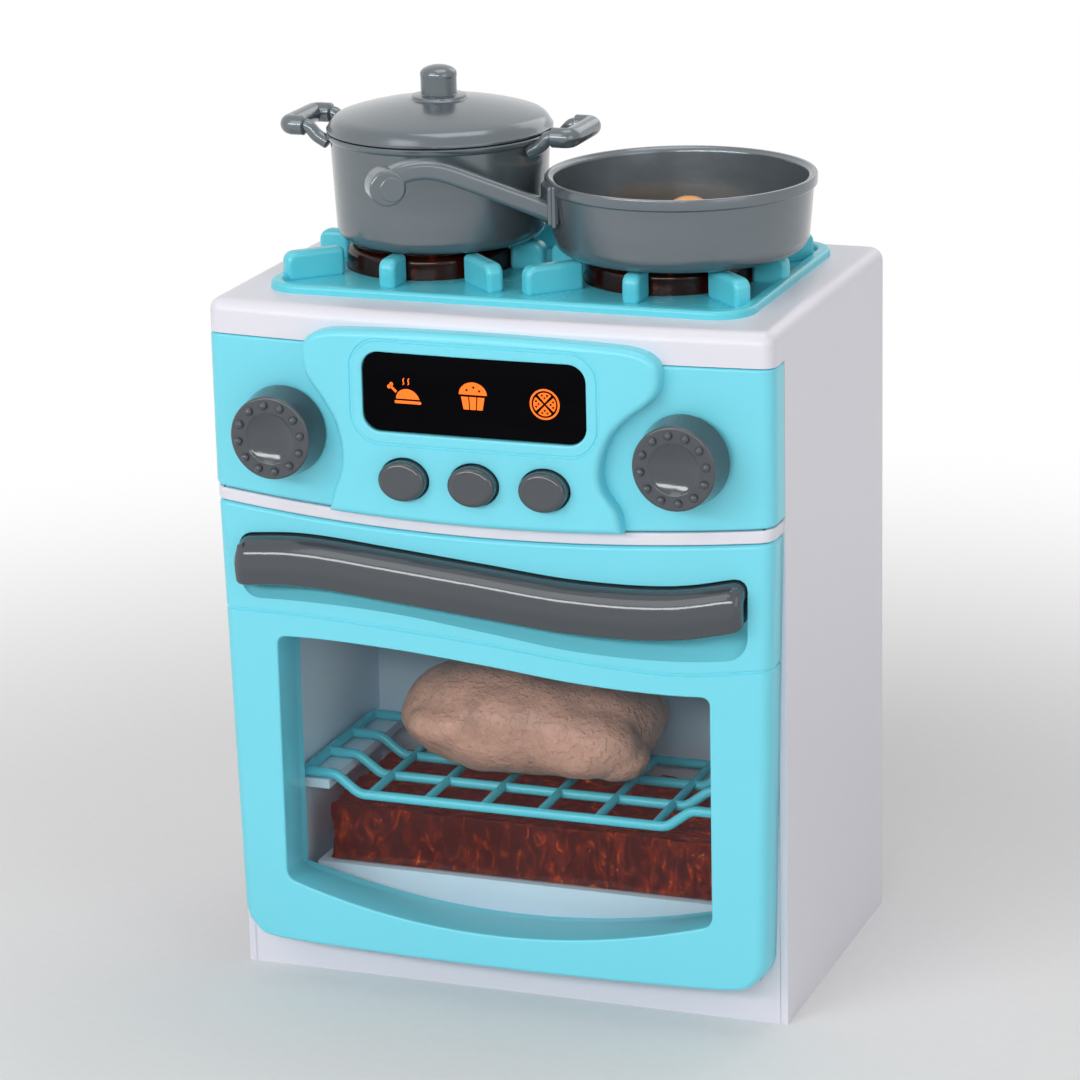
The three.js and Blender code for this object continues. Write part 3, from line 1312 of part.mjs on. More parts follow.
// Housing behind the switch, on the inside of the rear cover.
function switchBody() {
  const flangeBack = coverFrontY - seatGap;
  const half = switchWidth / 2 + switchTravel * 1.5 + fitGap;
  const tall = switchHeight / 2 + switchFlange + fitGap;
  const wall = shellWall / 2;
  const depth = switchFlange + fitGap;
  const outer = block(switchShift - half - wall, switchShift + half + wall, flangeBack - depth - wall, flangeBack,
    grilleZ - tall - wall, grilleZ + tall + wall);
  return outer.subtract(block(switchShift - half, switchShift + half, flangeBack - depth, flangeBack + cutOver,
    grilleZ - tall, grilleZ + tall));
}

const boardY = frontY + boardGap;

// Circuit board behind the panel, on two posts that reach the panel.
function mainBoard() {
  const z = (buttonZ + displayZ) / 2;
  const plate = block(-boardWidth / 2, boardWidth / 2, boardY, boardY + boardThickness, z - boardHeight / 2, z + boardHeight / 2);
  const chip = block(-boardWidth / 6, boardWidth / 6, boardY + boardThickness / 2, boardY + boardThickness * 2,
    z - boardHeight / 5, z + boardHeight / 5);
  return plate.add(chip);
}

// Rubber key mat between the buttons and the board.
function keyMat() {
  const half = buttonPitch + buttonWidth / 2;
  const back = boardY - seatGap;
  const sheet = block(-half, half, back - padThickness / 2, back, buttonZ - buttonHeight / 2, buttonZ + buttonHeight / 2);
  const keys = [-1, 0, 1].map((step) => bar([step * buttonPitch, back - padThickness, buttonZ],
    [step * buttonPitch, back - padThickness / 4, buttonZ], shaftRadius * 1.3, smallSides));
  return join([sheet, ...keys]);
}

// Small board with one lamp under each burner, clipped under the hob cap.
function burnerLight() {
  const half = ledBoard / 2;
  const plate = block(-half, half, -half, half, 0, boardThickness);
  return plate.add(lamp(0, 0, boardThickness));
}

// Two-armed carrier that holds a burner light under the hob cap.
function lightCarrier() {
  const half = lightHoleRadius + shellWall * 2;
  const rise = ledHeight + boardThickness + seatGap * 2;
  const arm = ledBoard / 2;
  const floor = block(-half, half, -arm, arm, -shellWall, 0);
  const legs = [-1, 1].map((side) => block(Math.min(side * half, side * (half - shellWall)), Math.max(side * half, side * (half - shellWall)),
    -arm, arm, -shellWall / 2, rise));
  return join([floor, ...legs]);
}

// Casing and hob
addPart('body_shell', bodyShell(), colours.white);
addPart('base_plate', basePlate(), colours.white);
addPart('rear_cover', rearCover(), colours.white);
addPart('hob_cap', hobCap(), colours.white);
addPart('hob_plate', hobPlate(), colours.hobTurquoise);
for (const [name, side] of [['left', -1], ['right', 1]]) {
  const burner = groupAt(burnerX(side), burnerY, plateBottom);
  const lens = groupAt(0, 0, 0, 0, burner);
  addPart(`burner_lens_${name}`, burnerLens(), colours.amber, lens);
  const carrierTop = ledHeight + boardThickness + seatGap * 2;
  const carrier = groupAt(0, 0, plateSink - shellWall - carrierTop - seatGap, 0, burner);
  addPart(`light_carrier_${name}`, lightCarrier(), colours.black, carrier);
  const light = groupAt(0, 0, seatGap, 0, carrier);
  addPart(`burner_light_${name}`, burnerLight(), colours.board, light);
}

// Panel and its controls
addPart('control_panel', controlPanel(), colours.turquoise);
addPart('display_window', displayWindow(), colours.displayBlack);
addPart('main_board', mainBoard(), colours.board);
addPart('key_mat', keyMat(), colours.rubber);
for (const [name, side] of [['left', -1], ['right', 1]]) {
  const x = side * knobSpread;
  const seatY = faceY(Math.abs(x) - knobBaseRadius) - knobSkirtGap;
  const clipY = faceY(Math.abs(x) + clipRadius) + panelWall + seatGap;
  const clipPlace = groupAt(x, clipY, knobZ, -Math.PI / 2);
  const place = groupAt(x, seatY, knobZ, Math.PI / 2);
  addPart(`knob_${name}`, knob(clipY + clipThickness * 1.5 - seatY), colours.graphite, place);
  const clip = turned([[shaftRadius + fitGap / 2, 0], [clipRadius, 0], [clipRadius, clipThickness],
    [shaftRadius + fitGap / 2, clipThickness], [shaftRadius + fitGap / 2, 0]], smallSides);
  addPart(`knob_clip_${name}`, clip, colours.steel, clipPlace);
}
for (const [name, step] of [['left', -1], ['middle', 0], ['right', 1]]) {
  const x = step * buttonPitch;
  const y = faceY(x) - bulgeProud;
  const stem = boardY - seatGap - padThickness - buttonTravel - fitGap - y;
  const place = groupAt(x, y, buttonZ, Math.PI / 2);
  addPart(`button_${name}`, buttonCap(stem), colours.graphite, place);
}

// Door
addPart('door_frame', doorFrame(), colours.turquoise);
addPart('door_inner_frame', doorInnerFrame(), colours.turquoise);
addPart('door_window', doorWindow(), colours.clear);
addPart('door_handle', doorHandle(), colours.graphite);
for (const [name, side] of [['left', -1], ['right', 1]]) {
  const x = side * hingeSpread;
  addPart(`hinge_pin_${name}`, bar([x - hingePinLength / 2, hingeY, hingeHeight], [x + hingePinLength / 2, hingeY, hingeHeight],
    hingePinRadius, smallSides), colours.steel);
}

// Cavity
addPart('cavity_liner', cavityLiner(), colours.interior);
addPart('glow_bed', glowBed(), colours.amber);
addPart('glow_lights', glowLights(), colours.board);
addPart('rack', rack(), colours.hobTurquoise);
const roastY = rackFrontY + rackDepth / 2 + wireRadius;
addPart('roast', roast(), colours.roastBrown, groupAt(roastShift, roastY, rackLevel + wireRadius * 1.25 + seatGap));

// Cookware
const potPlace = groupAt(cookwareX(-1), burnerY, cookwareBase);
addPart('pot', pot(), colours.silver, potPlace);
addPart('pot_lid', potLid(), colours.silver, groupAt(0, 0, potHeight + seatGap, 0, potPlace));
const panPlace = groupAt(cookwareX(1), burnerY, cookwareBase);
addPart('pan', pan(), colours.silver, panPlace);
const panHandlePlace = groupAt(0, 0, 0, 0, panPlace);
panHandlePlace.rotation.z = THREE.MathUtils.degToRad(panHandleAngle);
addPart('pan_handle', panHandle(), colours.silver, panHandlePlace);
const eggPlace = groupAt(eggShift, eggSetback, panWall + seatGap, 0, panPlace);
addPart('egg_white', eggWhite(), colours.eggWhite, eggPlace);
addPart('egg_yolk', eggYolk(), colours.yolk, groupAt(0, 0, eggThickness + seatGap / 3, 0, eggPlace));

// Rear pieces
addPart('battery_cover', batteryCover(), colours.white);
for (let i = 0; i < cellCount; i += 1) addPart(`battery_${i + 1}`, battery(i), colours.cell);
addPart('contact_plate_left', contactPlate(-1), colours.steel);
addPart('contact_plate_right', contactPlate(1), colours.steel);
const speakerPlace = groupAt(speakerShift, coverFrontY - seatGap - speakerDepth, grilleZ, -Math.PI / 2);
addPart('speaker', speaker(), colours.black, speakerPlace);
addPart('speaker_clamp', speakerClamp(), colours.black);
addPart('power_switch', powerSwitch(), colours.black);
addPart('switch_housing', switchBody(), colours.black);
rearScrewPlaces.forEach(([x, z], i) => {
  addPart(`rear_screw_${i + 1}`, screw(screwLength), colours.steel, groupAt(x, backY + seatGap / 3, z, -Math.PI / 2));
});
addPart('battery_screw', screw(screwLength), colours.steel, groupAt(batteryScrewX, backY, batteryHeight, -Math.PI / 2));

export default oven;
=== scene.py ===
# Toy oven with its hob, drop-down door, rack and cookware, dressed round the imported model.
# Shapes are worked out in millimetres, and a piece becomes metres when it is finished.

import math

import bmesh
import bpy
from mathutils import Matrix, Vector, noise


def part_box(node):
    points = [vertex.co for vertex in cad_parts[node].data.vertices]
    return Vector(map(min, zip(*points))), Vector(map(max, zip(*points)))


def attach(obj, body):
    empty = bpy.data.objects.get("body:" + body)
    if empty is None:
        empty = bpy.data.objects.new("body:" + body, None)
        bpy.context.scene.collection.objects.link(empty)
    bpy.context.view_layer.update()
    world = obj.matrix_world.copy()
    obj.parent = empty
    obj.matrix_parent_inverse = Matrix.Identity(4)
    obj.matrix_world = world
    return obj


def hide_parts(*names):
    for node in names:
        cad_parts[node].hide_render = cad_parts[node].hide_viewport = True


bl_info = {
    "name": "Toy oven",
    "version": (1, 0, 0),
    "blender": (4, 5, 0),
    "location": "View3D > Sidebar > Toy oven",
    "description": "Builds the pieces and finishes of a play kitchen oven",
    "category": "Object",
}

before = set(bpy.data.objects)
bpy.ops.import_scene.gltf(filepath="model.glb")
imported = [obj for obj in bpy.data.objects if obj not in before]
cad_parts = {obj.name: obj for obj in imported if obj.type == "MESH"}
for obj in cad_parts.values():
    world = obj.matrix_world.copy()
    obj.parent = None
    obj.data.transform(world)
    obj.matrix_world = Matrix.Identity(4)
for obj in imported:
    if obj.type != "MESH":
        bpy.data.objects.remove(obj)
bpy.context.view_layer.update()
THOUSAND = 1000.0


def corners(node):
    """Lowest and highest corner of a CAD node, in millimetres."""
    low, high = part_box(node)
    return low * THOUSAND, high * THOUSAND


def middle(node):
    low, high = corners(node)
    return (low + high) / 2


def half_size(node):
    low, high = corners(node)
    return (high - low) / 2


def halves(node):
    """Half width and half height of a CAD node, and the height of its middle."""
    low, high = corners(node)
    return (high.x - low.x) / 2, (high.z - low.z) / 2, (low.z + high.z) / 2


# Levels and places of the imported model
door_low, door_high = corners("door_frame")
plate_low, plate_high = corners("hob_plate")
panel_low, panel_high = corners("control_panel")
casing_high = corners("body_shell")[1]
HALF_WIDTH = casing_high.x
BACK = casing_high.y
PANEL_TOP = casing_high.z
FRONT_MIDDLE = door_low.y
FRONT_BOW = 5.0
SEAM_DIP = 4.4
DOOR_FOOT = door_low.z
DOOR_TOP = door_high.z
DOOR_HALF = HALF_WIDTH - 0.5
PANEL_FOOT = DOOR_TOP + 4.5
BULGE_PROUD = FRONT_MIDDLE - panel_low.y
CAP_TOP = corners("hob_cap")[1].z
PLATE_TOP = CAP_TOP + 2.5
TRAY_FLOOR = plate_low.z + 1.2
CORNER_RADIUS = 4.5
BODY_FACE = FRONT_MIDDLE + FRONT_BOW + 11.3
DOOR_REAR = FRONT_MIDDLE + FRONT_BOW + 11.0
HINGE_Y = FRONT_MIDDLE + FRONT_BOW + 5.0
HINGE_Z = 18.5
HEEL_RADIUS = 5.9
SIDES = {"left": -1, "right": 1}

# Waved lines: drops below the top of the door at evenly spread places across it
WINDOW_LINE = (43.7, 41.8, 42.3, 44.6, 47.8, 49.2, 48.2)
HANDLE_LINE = (18.8, 16.1, 17.7, 20.2, 22.9, 22.7, 17.6)
SCOOP_LINE = (31.0, 29.9, 30.6, 33.8, 37.5, 38.2, 36.0)
GROOVE_LINE = (34.9, 34.3, 35.5, 37.5, 40.6, 42.3, 39.6)
HANDLE_HALF = corners("door_handle")[1].x
HANDLE_THICK = 14.8
HANDLE_REACH = 7.0
WINDOW_HALF = 70.0
WINDOW_MIDDLE_FOOT = 25.0
WINDOW_SIDE_FOOT = 35.0


def tint(name, description, *colour):
    return bpy.props.FloatVectorProperty(
        name=name, description=description, subtype="COLOR_GAMMA", default=colour, min=0, max=1)


def length(name, description, default, low, high):
    return bpy.props.FloatProperty(
        name=name, description=description, default=default, min=low, max=high, unit="LENGTH")


class OvenFinish(bpy.types.PropertyGroup):
    """Colours and small sizes of the oven that a user may change."""

    turquoise: tint("Turquoise", "Door and panel plastic", 0.47, 0.87, 0.94)
    hob_turquoise: tint("Hob turquoise", "Hob plate and rack plastic", 0.38, 0.83, 0.895)
    white: tint("White", "Casing and cap plastic", 0.895, 0.89, 0.925)
    graphite: tint("Graphite", "Knobs, buttons and door handle", 0.272, 0.293, 0.315)
    silver: tint("Silver", "Pot, lid and pan", 0.415, 0.445, 0.465)
    amber: tint("Amber", "Burner lenses and ember bed", 0.36, 0.12, 0.04)
    icon: tint("Icon orange", "Lit icons on the display", 1.0, 0.42, 0.02)
    roast: tint("Roast", "Skin of the roast", 0.79, 0.60, 0.52)
    rim: length("Edge rounding", "Radius of the moulded edges of door and panel", 0.0014, 0.0003, 0.003)
    groove: length("Groove width", "Width of the fine grooves in the front", 0.0011, 0.0003, 0.003)
    scoop: length("Finger scoop depth", "Depth of the hollow behind the door handle", 0.006, 0.001, 0.006)
    bead: length("Knob bead radius", "Radius of the beads on the knob's face", 0.0013, 0.0003, 0.002)
    glow: bpy.props.FloatProperty(
        name="Ember glow", description="Strength of the light in the ember bed", default=0.6, min=0, max=3)


def size(name):
    """One of the user's sizes, in millimetres."""
    return getattr(bpy.context.scene.oven_finish, name) * THOUSAND


# Curves and outlines, as lists of places

def bow(x):
    """Y of the bowed front at a place across it."""
    return FRONT_MIDDLE + FRONT_BOW * (x / HALF_WIDTH) ** 2


def seam(level, x):
    """Height of a seam across the front, which dips in the middle."""
    return level - SEAM_DIP * (1 - (x / HALF_WIDTH) ** 2)


def between(a, b, c, d, t):
    """Place between b and c on a smooth curve through four numbers or points."""
    lean_in, lean_out = (c - a) / 2, (d - b) / 2
    return (b * (2 * t**3 - 3 * t**2 + 1) + c * (3 * t**2 - 2 * t**3)
            + lean_in * (t**3 - 2 * t**2 + t) + lean_out * (t**3 - t**2))


def wave(drops, x):
    """Height of a waved line at a place across the door."""
    last = len(drops) - 1
    place = min(max((x + HALF_WIDTH) / (2 * HALF_WIDTH), 0), 1) * last
    i = min(int(place), last - 1)
    return DOOR_TOP - between(*(drops[min(max(i + k, 0), last)] for k in (-1, 0, 1, 2)), place - i)


def smooth_path(points, steps):
    """Points on a smooth curve through the given ones."""
    last = len(points) - 1
    near = [[points[min(max(i + k, 0), last)] for k in (-1, 0, 1, 2)] for i in range(last)]
    return [between(*four, k / steps) for four in near for k in range(steps)] + [points[-1].copy()]


def handle_height(x):
    return wave(HANDLE_LINE, x)


def arc(x, z, radius, start, end, steps):
    """Points on an arc between two angles in degrees, both ends included."""
    turns = [math.radians(start + (end - start) * i / steps) for i in range(steps + 1)]
    return [(x + radius * math.cos(t), z + radius * math.sin(t)) for t in turns]


def rounded(half_x, half_z, radius, x=0.0, z=0.0, steps=8):
    """Outline of a rectangle with round corners."""
    side, rise = half_x - radius, half_z - radius
    turns = ((1, 1, 0), (-1, 1, 90), (-1, -1, 180), (1, -1, 270))
    return [p for a, b, turn in turns
            for p in arc(x + a * side, z + b * rise, radius, turn, turn + 90, steps)]


def oval(half_x, half_z, x=0.0, z=0.0, steps=48):
    return [(x + half_x * c, z + half_z * s) for c, s in arc(0, 0, 1, 0, 360, steps)[:-1]]


def bend_points(start, lean_a, lean_b, end, steps=10):
    """Points of one cubic curve, without its first."""
    made = []
    for i in range(1, steps + 1):
        t = i / steps
        s = 1 - t
        weights = (s**3, 3 * s * s * t, 3 * s * t * t, t**3)
        leans = (start, lean_a, lean_b, end)
        made.append(tuple(sum(w * p[k] for w, p in zip(weights, leans)) for k in (0, 1)))
    return made


def edge_rows(radius):
    """Distance from an edge and depth behind the face, along a quarter round."""
    return [(radius - radius * c, radius - radius * s) for c, s in arc(0, 0, 1, 0, 90, 4)]


# Mesh building

def outline_edges(bm, points, depth, upright=True):
    """A closed loop of edges from points, in X and Z at a Y, or in X and Y at a Z."""
    verts = [bm.verts.new((a, depth, b) if upright else (a, b, depth)) for a, b in points]
    return [bm.edges.new(pair) for pair in zip(verts, verts[1:] + verts[:1])]


def bridged(bm, outlines, upright=True):
    """Walls from each outline to the next, each given with its depth. Gives back the loops of edges."""
    loops = [outline_edges(bm, points, depth, upright) for points, depth in outlines]
    for a, b in zip(loops, loops[1:]):
        bmesh.ops.bridge_loops(bm, edges=a + b)
    return loops


def filled(bm, loops, depth=0.0, upright=True):
    """Flat faces inside an outline and round its holes, facing forward or up."""
    edges = [edge for loop in loops for edge in outline_edges(bm, loop, depth, upright)]
    made = bmesh.ops.triangle_fill(bm, use_beauty=True, use_dissolve=False, edges=edges)
    faces = [part for part in made["geom"] if isinstance(part, bmesh.types.BMFace)]
    toward = Vector((0, -1, 0)) if upright else Vector((0, 0, 1))
    bm.normal_update()
    bmesh.ops.reverse_faces(bm, faces=[face for face in faces if face.normal.dot(toward) < 0])
    return faces


def push(bm, faces, offset, keep=False):
    """Draws faces out by an offset and gives back the moved faces."""
    parts = bmesh.ops.extrude_face_region(bm, geom=faces, use_keep_orig=keep)["geom"]
    bmesh.ops.translate(bm, verts=[p for p in parts if isinstance(p, bmesh.types.BMVert)], vec=offset)
    return [p for p in parts if isinstance(p, bmesh.types.BMFace)]


def round_over(bm, faces, radius, steps=4):
    """Rounds the rim of flat faces with stepped insets."""
    for i in range(steps):
        low, high = (math.pi / 2 * k / steps for k in (i, i + 1))
        bmesh.ops.inset_region(
            bm, faces=faces, use_even_offset=True, use_boundary=True,
            thickness=radius * (math.cos(low) - math.cos(high)),
            depth=radius * (math.sin(high) - math.sin(low)))


def soften(bm, edges, radius, segments=3, clamp=False):
    bmesh.ops.bevel(
        bm, geom=list(edges), offset=radius, affect="EDGES", segments=segments, profile=0.5, material=-1,
        clamp_overlap=clamp)


def slab(bm, outline, back, front, rim, upright=True, steps=4):
    """A closed plate from its back to its front, or from below to above, with a rounded front rim."""
    reach = front - back
    way = Vector((0, 1, 0)) if upright else Vector((0, 0, 1))
    wall = way * (reach - math.copysign(rim, reach))
    faces = push(bm, filled(bm, [outline], back, upright), wall, keep=True)
    bm.normal_update()
    round_over(bm, faces, rim, steps)


def cut_across(bm, place, way):
    bmesh.ops.bisect_plane(
        bm, geom=bm.verts[:] + bm.edges[:] + bm.faces[:], dist=0.0005, plane_co=place, plane_no=way)


def drape(bm, pitch):
    """Cuts a flat piece into upright strips and bends it onto the bowed front."""
    low = min(v.co.x for v in bm.verts)
    high = max(v.co.x for v in bm.verts)
    cuts = int((high - low) / pitch)
    for i in range(1, cuts):
        cut_across(bm, (low + (high - low) * i / cuts, 0, 0), (1, 0, 0))
    for vert in bm.verts:
        vert.co.y += bow(vert.co.x)


def turned(bm, profile, centre, axis="Z", sides=72):
    """A turned shape from a list of radius and height, about an upright axis or one that faces forward."""
    verts = [bm.verts.new((radius, 0, height)) for radius, height in profile]
    edges = [bm.edges.new(pair) for pair in zip(verts, verts[1:])]
    bmesh.ops.spin(
        bm, geom=verts + edges, cent=(0, 0, 0), axis=(0, 0, 1), dvec=(0, 0, 0),
        angle=2 * math.pi, steps=sides, use_merge=True)
    new = set(verts)
    seen = list(new)
    while seen:
        for edge in seen.pop().link_edges:
            for vert in edge.verts:
                if vert not in new:
                    new.add(vert)
                    seen.append(vert)
    move = Matrix.Translation(centre)
    if axis == "Y":
        move = move @ Matrix.Rotation(math.pi / 2, 4, "X")
    new = list(new)
    bmesh.ops.transform(bm, matrix=move, verts=new)
    bmesh.ops.remove_doubles(bm, verts=new, dist=0.0005)
    return [v for v in new if v.is_valid]


def sized(place, scale):
    """A move to a place after a stretch along the axes."""
    return Matrix.Translation(place) @ Matrix.Diagonal((*scale, 1))


def rod(bm, start, end, radius, soft=0.4, sides=24):
    """A round bar with softened ends."""
    a, b = Vector(start), Vector(end)
    turn = (b - a).to_track_quat("Z", "Y").to_matrix().to_4x4()
    made = bmesh.ops.create_cone(
        bm, cap_ends=True, segments=sides, radius1=radius, radius2=radius, depth=(b - a).length,
        matrix=Matrix.Translation((a + b) / 2) @ turn)
    ends = [f for v in made["verts"] for f in v.link_faces if len(f.verts) == sides]
    soften(bm, {e for f in ends for e in f.edges}, soft)


def brick(bm, low, high, soft, segments=3):
    """A block between two corners with rounded edges."""
    a, b = Vector(low), Vector(high)
    made = bmesh.ops.create_cube(bm, size=1, matrix=sized((a + b) / 2, b - a))
    soften(bm, {e for v in made["verts"] for e in v.link_edges}, soft, segments)


def grid(bm, columns, rows, place):
    """A sheet of columns by rows, each of its points put in place by a function."""
    made = bmesh.ops.create_grid(bm, x_segments=len(columns) - 1, y_segments=len(rows) - 1, size=1)
    for vert in made["verts"]:
        i = round((vert.co.x + 1) / 2 * (len(columns) - 1))
        j = round((vert.co.y + 1) / 2 * (len(rows) - 1))
        vert.co = place(*columns[i], *rows[j])


def wrapped_columns(half, rear, extra=(), pitch=3.6):
    """Places round the front, from the left side's rear to the right side's, each with its inward way."""
    flat = half - CORNER_RADIUS
    slope = math.atan(2 * FRONT_BOW * flat / HALF_WIDTH**2)
    bow_half = flat + CORNER_RADIUS * math.sin(slope)
    centre_y = bow(bow_half) + CORNER_RADIUS * math.cos(slope)
    count = int(2 * bow_half / pitch)
    across = sorted({round(-bow_half + 2 * bow_half * i / count, 4) for i in range(1, count)} | set(extra))
    spaced = []
    for x in across:
        near = [p for p in spaced if abs(p - x) < pitch / 3 and p not in extra]
        if near and x in extra:
            spaced.remove(near[-1])
        if not spaced or abs(spaced[-1] - x) >= pitch / 3 or x in extra:
            spaced.append(x)
    right = []
    steps = 6
    for i in range(steps + 1):
        turn = (math.pi / 2 - slope) * i / steps + slope
        way = Vector((math.sin(turn), -math.cos(turn), 0))
        right.append((Vector((flat, centre_y, 0)) + way * CORNER_RADIUS, -way))
    for share in (0.5, 1.0):
        right.append((Vector((half, centre_y + (rear - centre_y) * share, 0)), Vector((-1, 0, 0))))
    left = [(Vector((-p.x, p.y, 0)), Vector((-w.x, w.y, 0))) for p, w in reversed(right)]
    return left + [(Vector((x, bow(x), 0)), Vector((0, 1, 0))) for x in spaced] + right


def added(bm, name):
    """A new object in the scene from a shape."""
    bmesh.ops.scale(bm, vec=(1 / THOUSAND,) * 3, verts=bm.verts[:])
    mesh = bpy.data.meshes.new(name)
    bm.to_mesh(mesh)
    bm.free()
    made = bpy.data.objects.new(name, mesh)
    bpy.context.scene.collection.objects.link(made)
    return made


def piece(bm, name, body, look, replaces=(), sharp=40.0, flip_check=True):
    """Makes a mesh object of the shape, in metres, and lets it ride on its body."""
    bmesh.ops.remove_doubles(bm, verts=bm.verts[:], dist=0.001)
    if flip_check:
        bmesh.ops.recalc_face_normals(bm, faces=bm.faces[:])
    made = added(bm, name)
    made.data.shade_smooth()
    made.data.set_sharp_from_angle(angle=math.radians(sharp))
    made.data.materials.append(looks[look].material)
    made.modifiers.new("even_shading", "WEIGHTED_NORMAL").keep_sharp = True
    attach(made, body)
    if replaces:
        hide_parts(*replaces)
    return made


def merged(bm, part, move):
    """Adds a shape to another one, moved into its place."""
    bmesh.ops.transform(part, matrix=move, verts=part.verts[:])
    mesh = bpy.data.meshes.new("part")
    part.to_mesh(mesh)
    part.free()
    bm.from_mesh(mesh)
    bpy.data.meshes.remove(mesh)


def taken(source):
    """A shape in millimetres from an object's finished mesh, in place of the object."""
    bpy.context.view_layer.update()
    mesh = bpy.data.meshes.new_from_object(source.evaluated_get(bpy.context.evaluated_depsgraph_get()))
    bm = bmesh.new()
    bm.from_mesh(mesh)
    bmesh.ops.scale(bm, vec=(THOUSAND,) * 3, verts=bm.verts[:])
    bpy.data.objects.remove(source)
    bpy.data.meshes.remove(mesh)
    return bm


def round_bar(bm, path, radius, sides=20):
    """A round bar along a path with rounded ends."""
    loops = []
    for i, point in enumerate(path):
        ahead = (path[min(i + 1, len(path) - 1)] - path[max(i - 1, 0)]).normalized()
        across = ahead.cross(Vector((0, 0, 1))).normalized()
        up = across.cross(ahead)
        turns = arc(0, 0, 1, 0, 360, sides)[:-1]
        loops.append([bm.verts.new(point + (across * c + up * s) * radius) for c, s in turns])
    for a, b in zip(loops, loops[1:]):
        for i in range(sides):
            bm.faces.new((a[i - 1], a[i], b[i], b[i - 1]))
    for loop, far in ((loops[0], path[0] * 2 - path[1]), (loops[-1], path[-1] * 2 - path[-2])):
        centre = sum((v.co for v in loop), Vector()) / sides
        out = (far - centre).normalized()
        source = loop
        for share, push_out in ((0.9, 0.35), (0.72, 0.65), (0.4, 0.85)):
            ring = [bm.verts.new(centre + (v.co - centre) * share + out * push_out * radius * 0.3)
                    for v in loop]
            for i in range(sides):
                bm.faces.new((source[i - 1], source[i], ring[i], ring[i - 1]))
            source = ring
        bm.faces.new(source)


# Shader building

class Value:
    """A shader socket that adds and scales as a number does."""

    def __init__(self, look, socket):
        self.look = look
        self.socket = socket

    def with_math(self, operation, other):
        return self.look.add("Math", {"operation": operation}, {0: self, 1: other})

    def __add__(self, other):
        return self.with_math("ADD", other)

    def __sub__(self, other):
        return self.with_math("SUBTRACT", other)

    def __mul__(self, other):
        return self.with_math("MULTIPLY", other)

    def __radd__(self, other):
        return self.look.add("Math", {"operation": "ADD"}, {0: other, 1: self})


looks = {}


def light_of(colour):
    """A screen colour as the light values that a shader takes."""
    return tuple(c / 12.92 if c <= 0.04045 else ((c + 0.055) / 1.055) ** 2.4 for c in colour[:3]) + (1.0,)


def shade(colour, factor):
    return tuple(min(c * factor, 1.0) for c in colour[:3]) + (1.0,)


class Look:
    """A material with its nodes."""

    def __init__(self, name, sockets):
        looks[name] = self
        self.material = bpy.data.materials.new(name)
        self.material.use_nodes = True
        self.tree = self.material.node_tree
        self.shader = self.tree.nodes["Principled BSDF"]
        self.place = self.add("TexCoord", output="Object")
        for socket, value in sockets.items():
            self.set(socket, value)

    def put(self, socket, value):
        if isinstance(value, Value):
            self.tree.links.new(value.socket, socket)
        else:
            socket.default_value = value

    def set(self, socket, value):
        self.put(self.shader.inputs[socket], value)

    def add(self, kind, settings=None, sockets=None, output=0):
        """A node of a kind with its settings and the values or links of its sockets."""
        node = self.tree.nodes.new("ShaderNode" + kind)
        for name, value in (settings or {}).items():
            setattr(node, name, value)
        for name, value in (sockets or {}).items():
            self.put(node.inputs[name], value)
        return Value(self, node.outputs[output])

    def stretched(self, scale, turn=(0, 0, 0)):
        """The object's coordinates, scaled and turned."""
        return self.add("Mapping", {}, {"Vector": self.place, "Scale": scale, "Rotation": turn})

    def noise(self, scale, detail=2.0, rough=0.5, place=None, twist=0.0):
        return self.add("TexNoise", {}, {
            "Vector": place or self.place, "Scale": scale, "Detail": detail, "Roughness": rough,
            "Distortion": twist})

    def cells(self, scale):
        return self.add("TexVoronoi", {}, {"Vector": self.place, "Scale": scale}, "Distance")

    def mix(self, share, first, second):
        return self.add("Mix", {"data_type": "RGBA"}, {0: share, 6: first, 7: second}, 2)

    def band(self, value, low, high):
        """0 below low and 1 above high, with a smooth change between them."""
        return self.add("MapRange", {"interpolation_type": "SMOOTHSTEP"}, {
            "Value": value, "From Min": low, "From Max": high})

    def bump(self, height, depth, strength=1.0, under=None):
        """A surface raised by a height from 0 to 1 times a depth in millimetres."""
        sockets = {"Height": height, "Distance": depth / THOUSAND, "Strength": strength}
        if under:
            sockets["Normal"] = under
        return self.add("Bump", {}, sockets)

    def seen(self):
        """1 for the rays that show the stage, in view, in a mirror or through glass."""
        rays = [self.add("LightPath", output=f"Is {kind} Ray")
                for kind in ("Camera", "Glossy", "Transmission")]
        either = self.add("Math", {"operation": "MAXIMUM"}, {0: rays[0], 1: rays[1]})
        return self.add("Math", {"operation": "MAXIMUM"}, {0: either, 1: rays[2]})


def plastic(name, colour, roughness, mottle, peel=0.05, grain=0.012, shine=0.5):
    """Moulded plastic: slow tone drift, a skin like orange peel, fine grain and a few handling scuffs."""
    look = Look(name, {"IOR": 1.49, "Specular IOR Level": shine})
    base = light_of(colour)
    drift = look.noise(14.0, 3.0, 0.55)
    specks = look.band(look.noise(2600.0, 1.0), 0.72, 0.8)
    tone = look.mix(drift, shade(base, 1 - mottle), shade(base, 1 + mottle * 0.6))
    look.set("Base Color", look.mix(specks * 0.12, tone, shade(base, 0.55)))
    rubbed = look.stretched((1.0, 1.0, 9.0), (0.4, 0.9, 0.3))
    scuffs = look.band(look.noise(22.0, 4.0, 0.7, rubbed), 0.60, 0.74)
    look.set("Roughness", roughness + (drift - 0.5) * 0.08 + scuffs * 0.09)
    skin = look.bump(look.noise(260.0, 2.0), peel)
    look.set("Normal", look.bump(look.noise(2400.0, 2.0), grain, 0.6, skin))


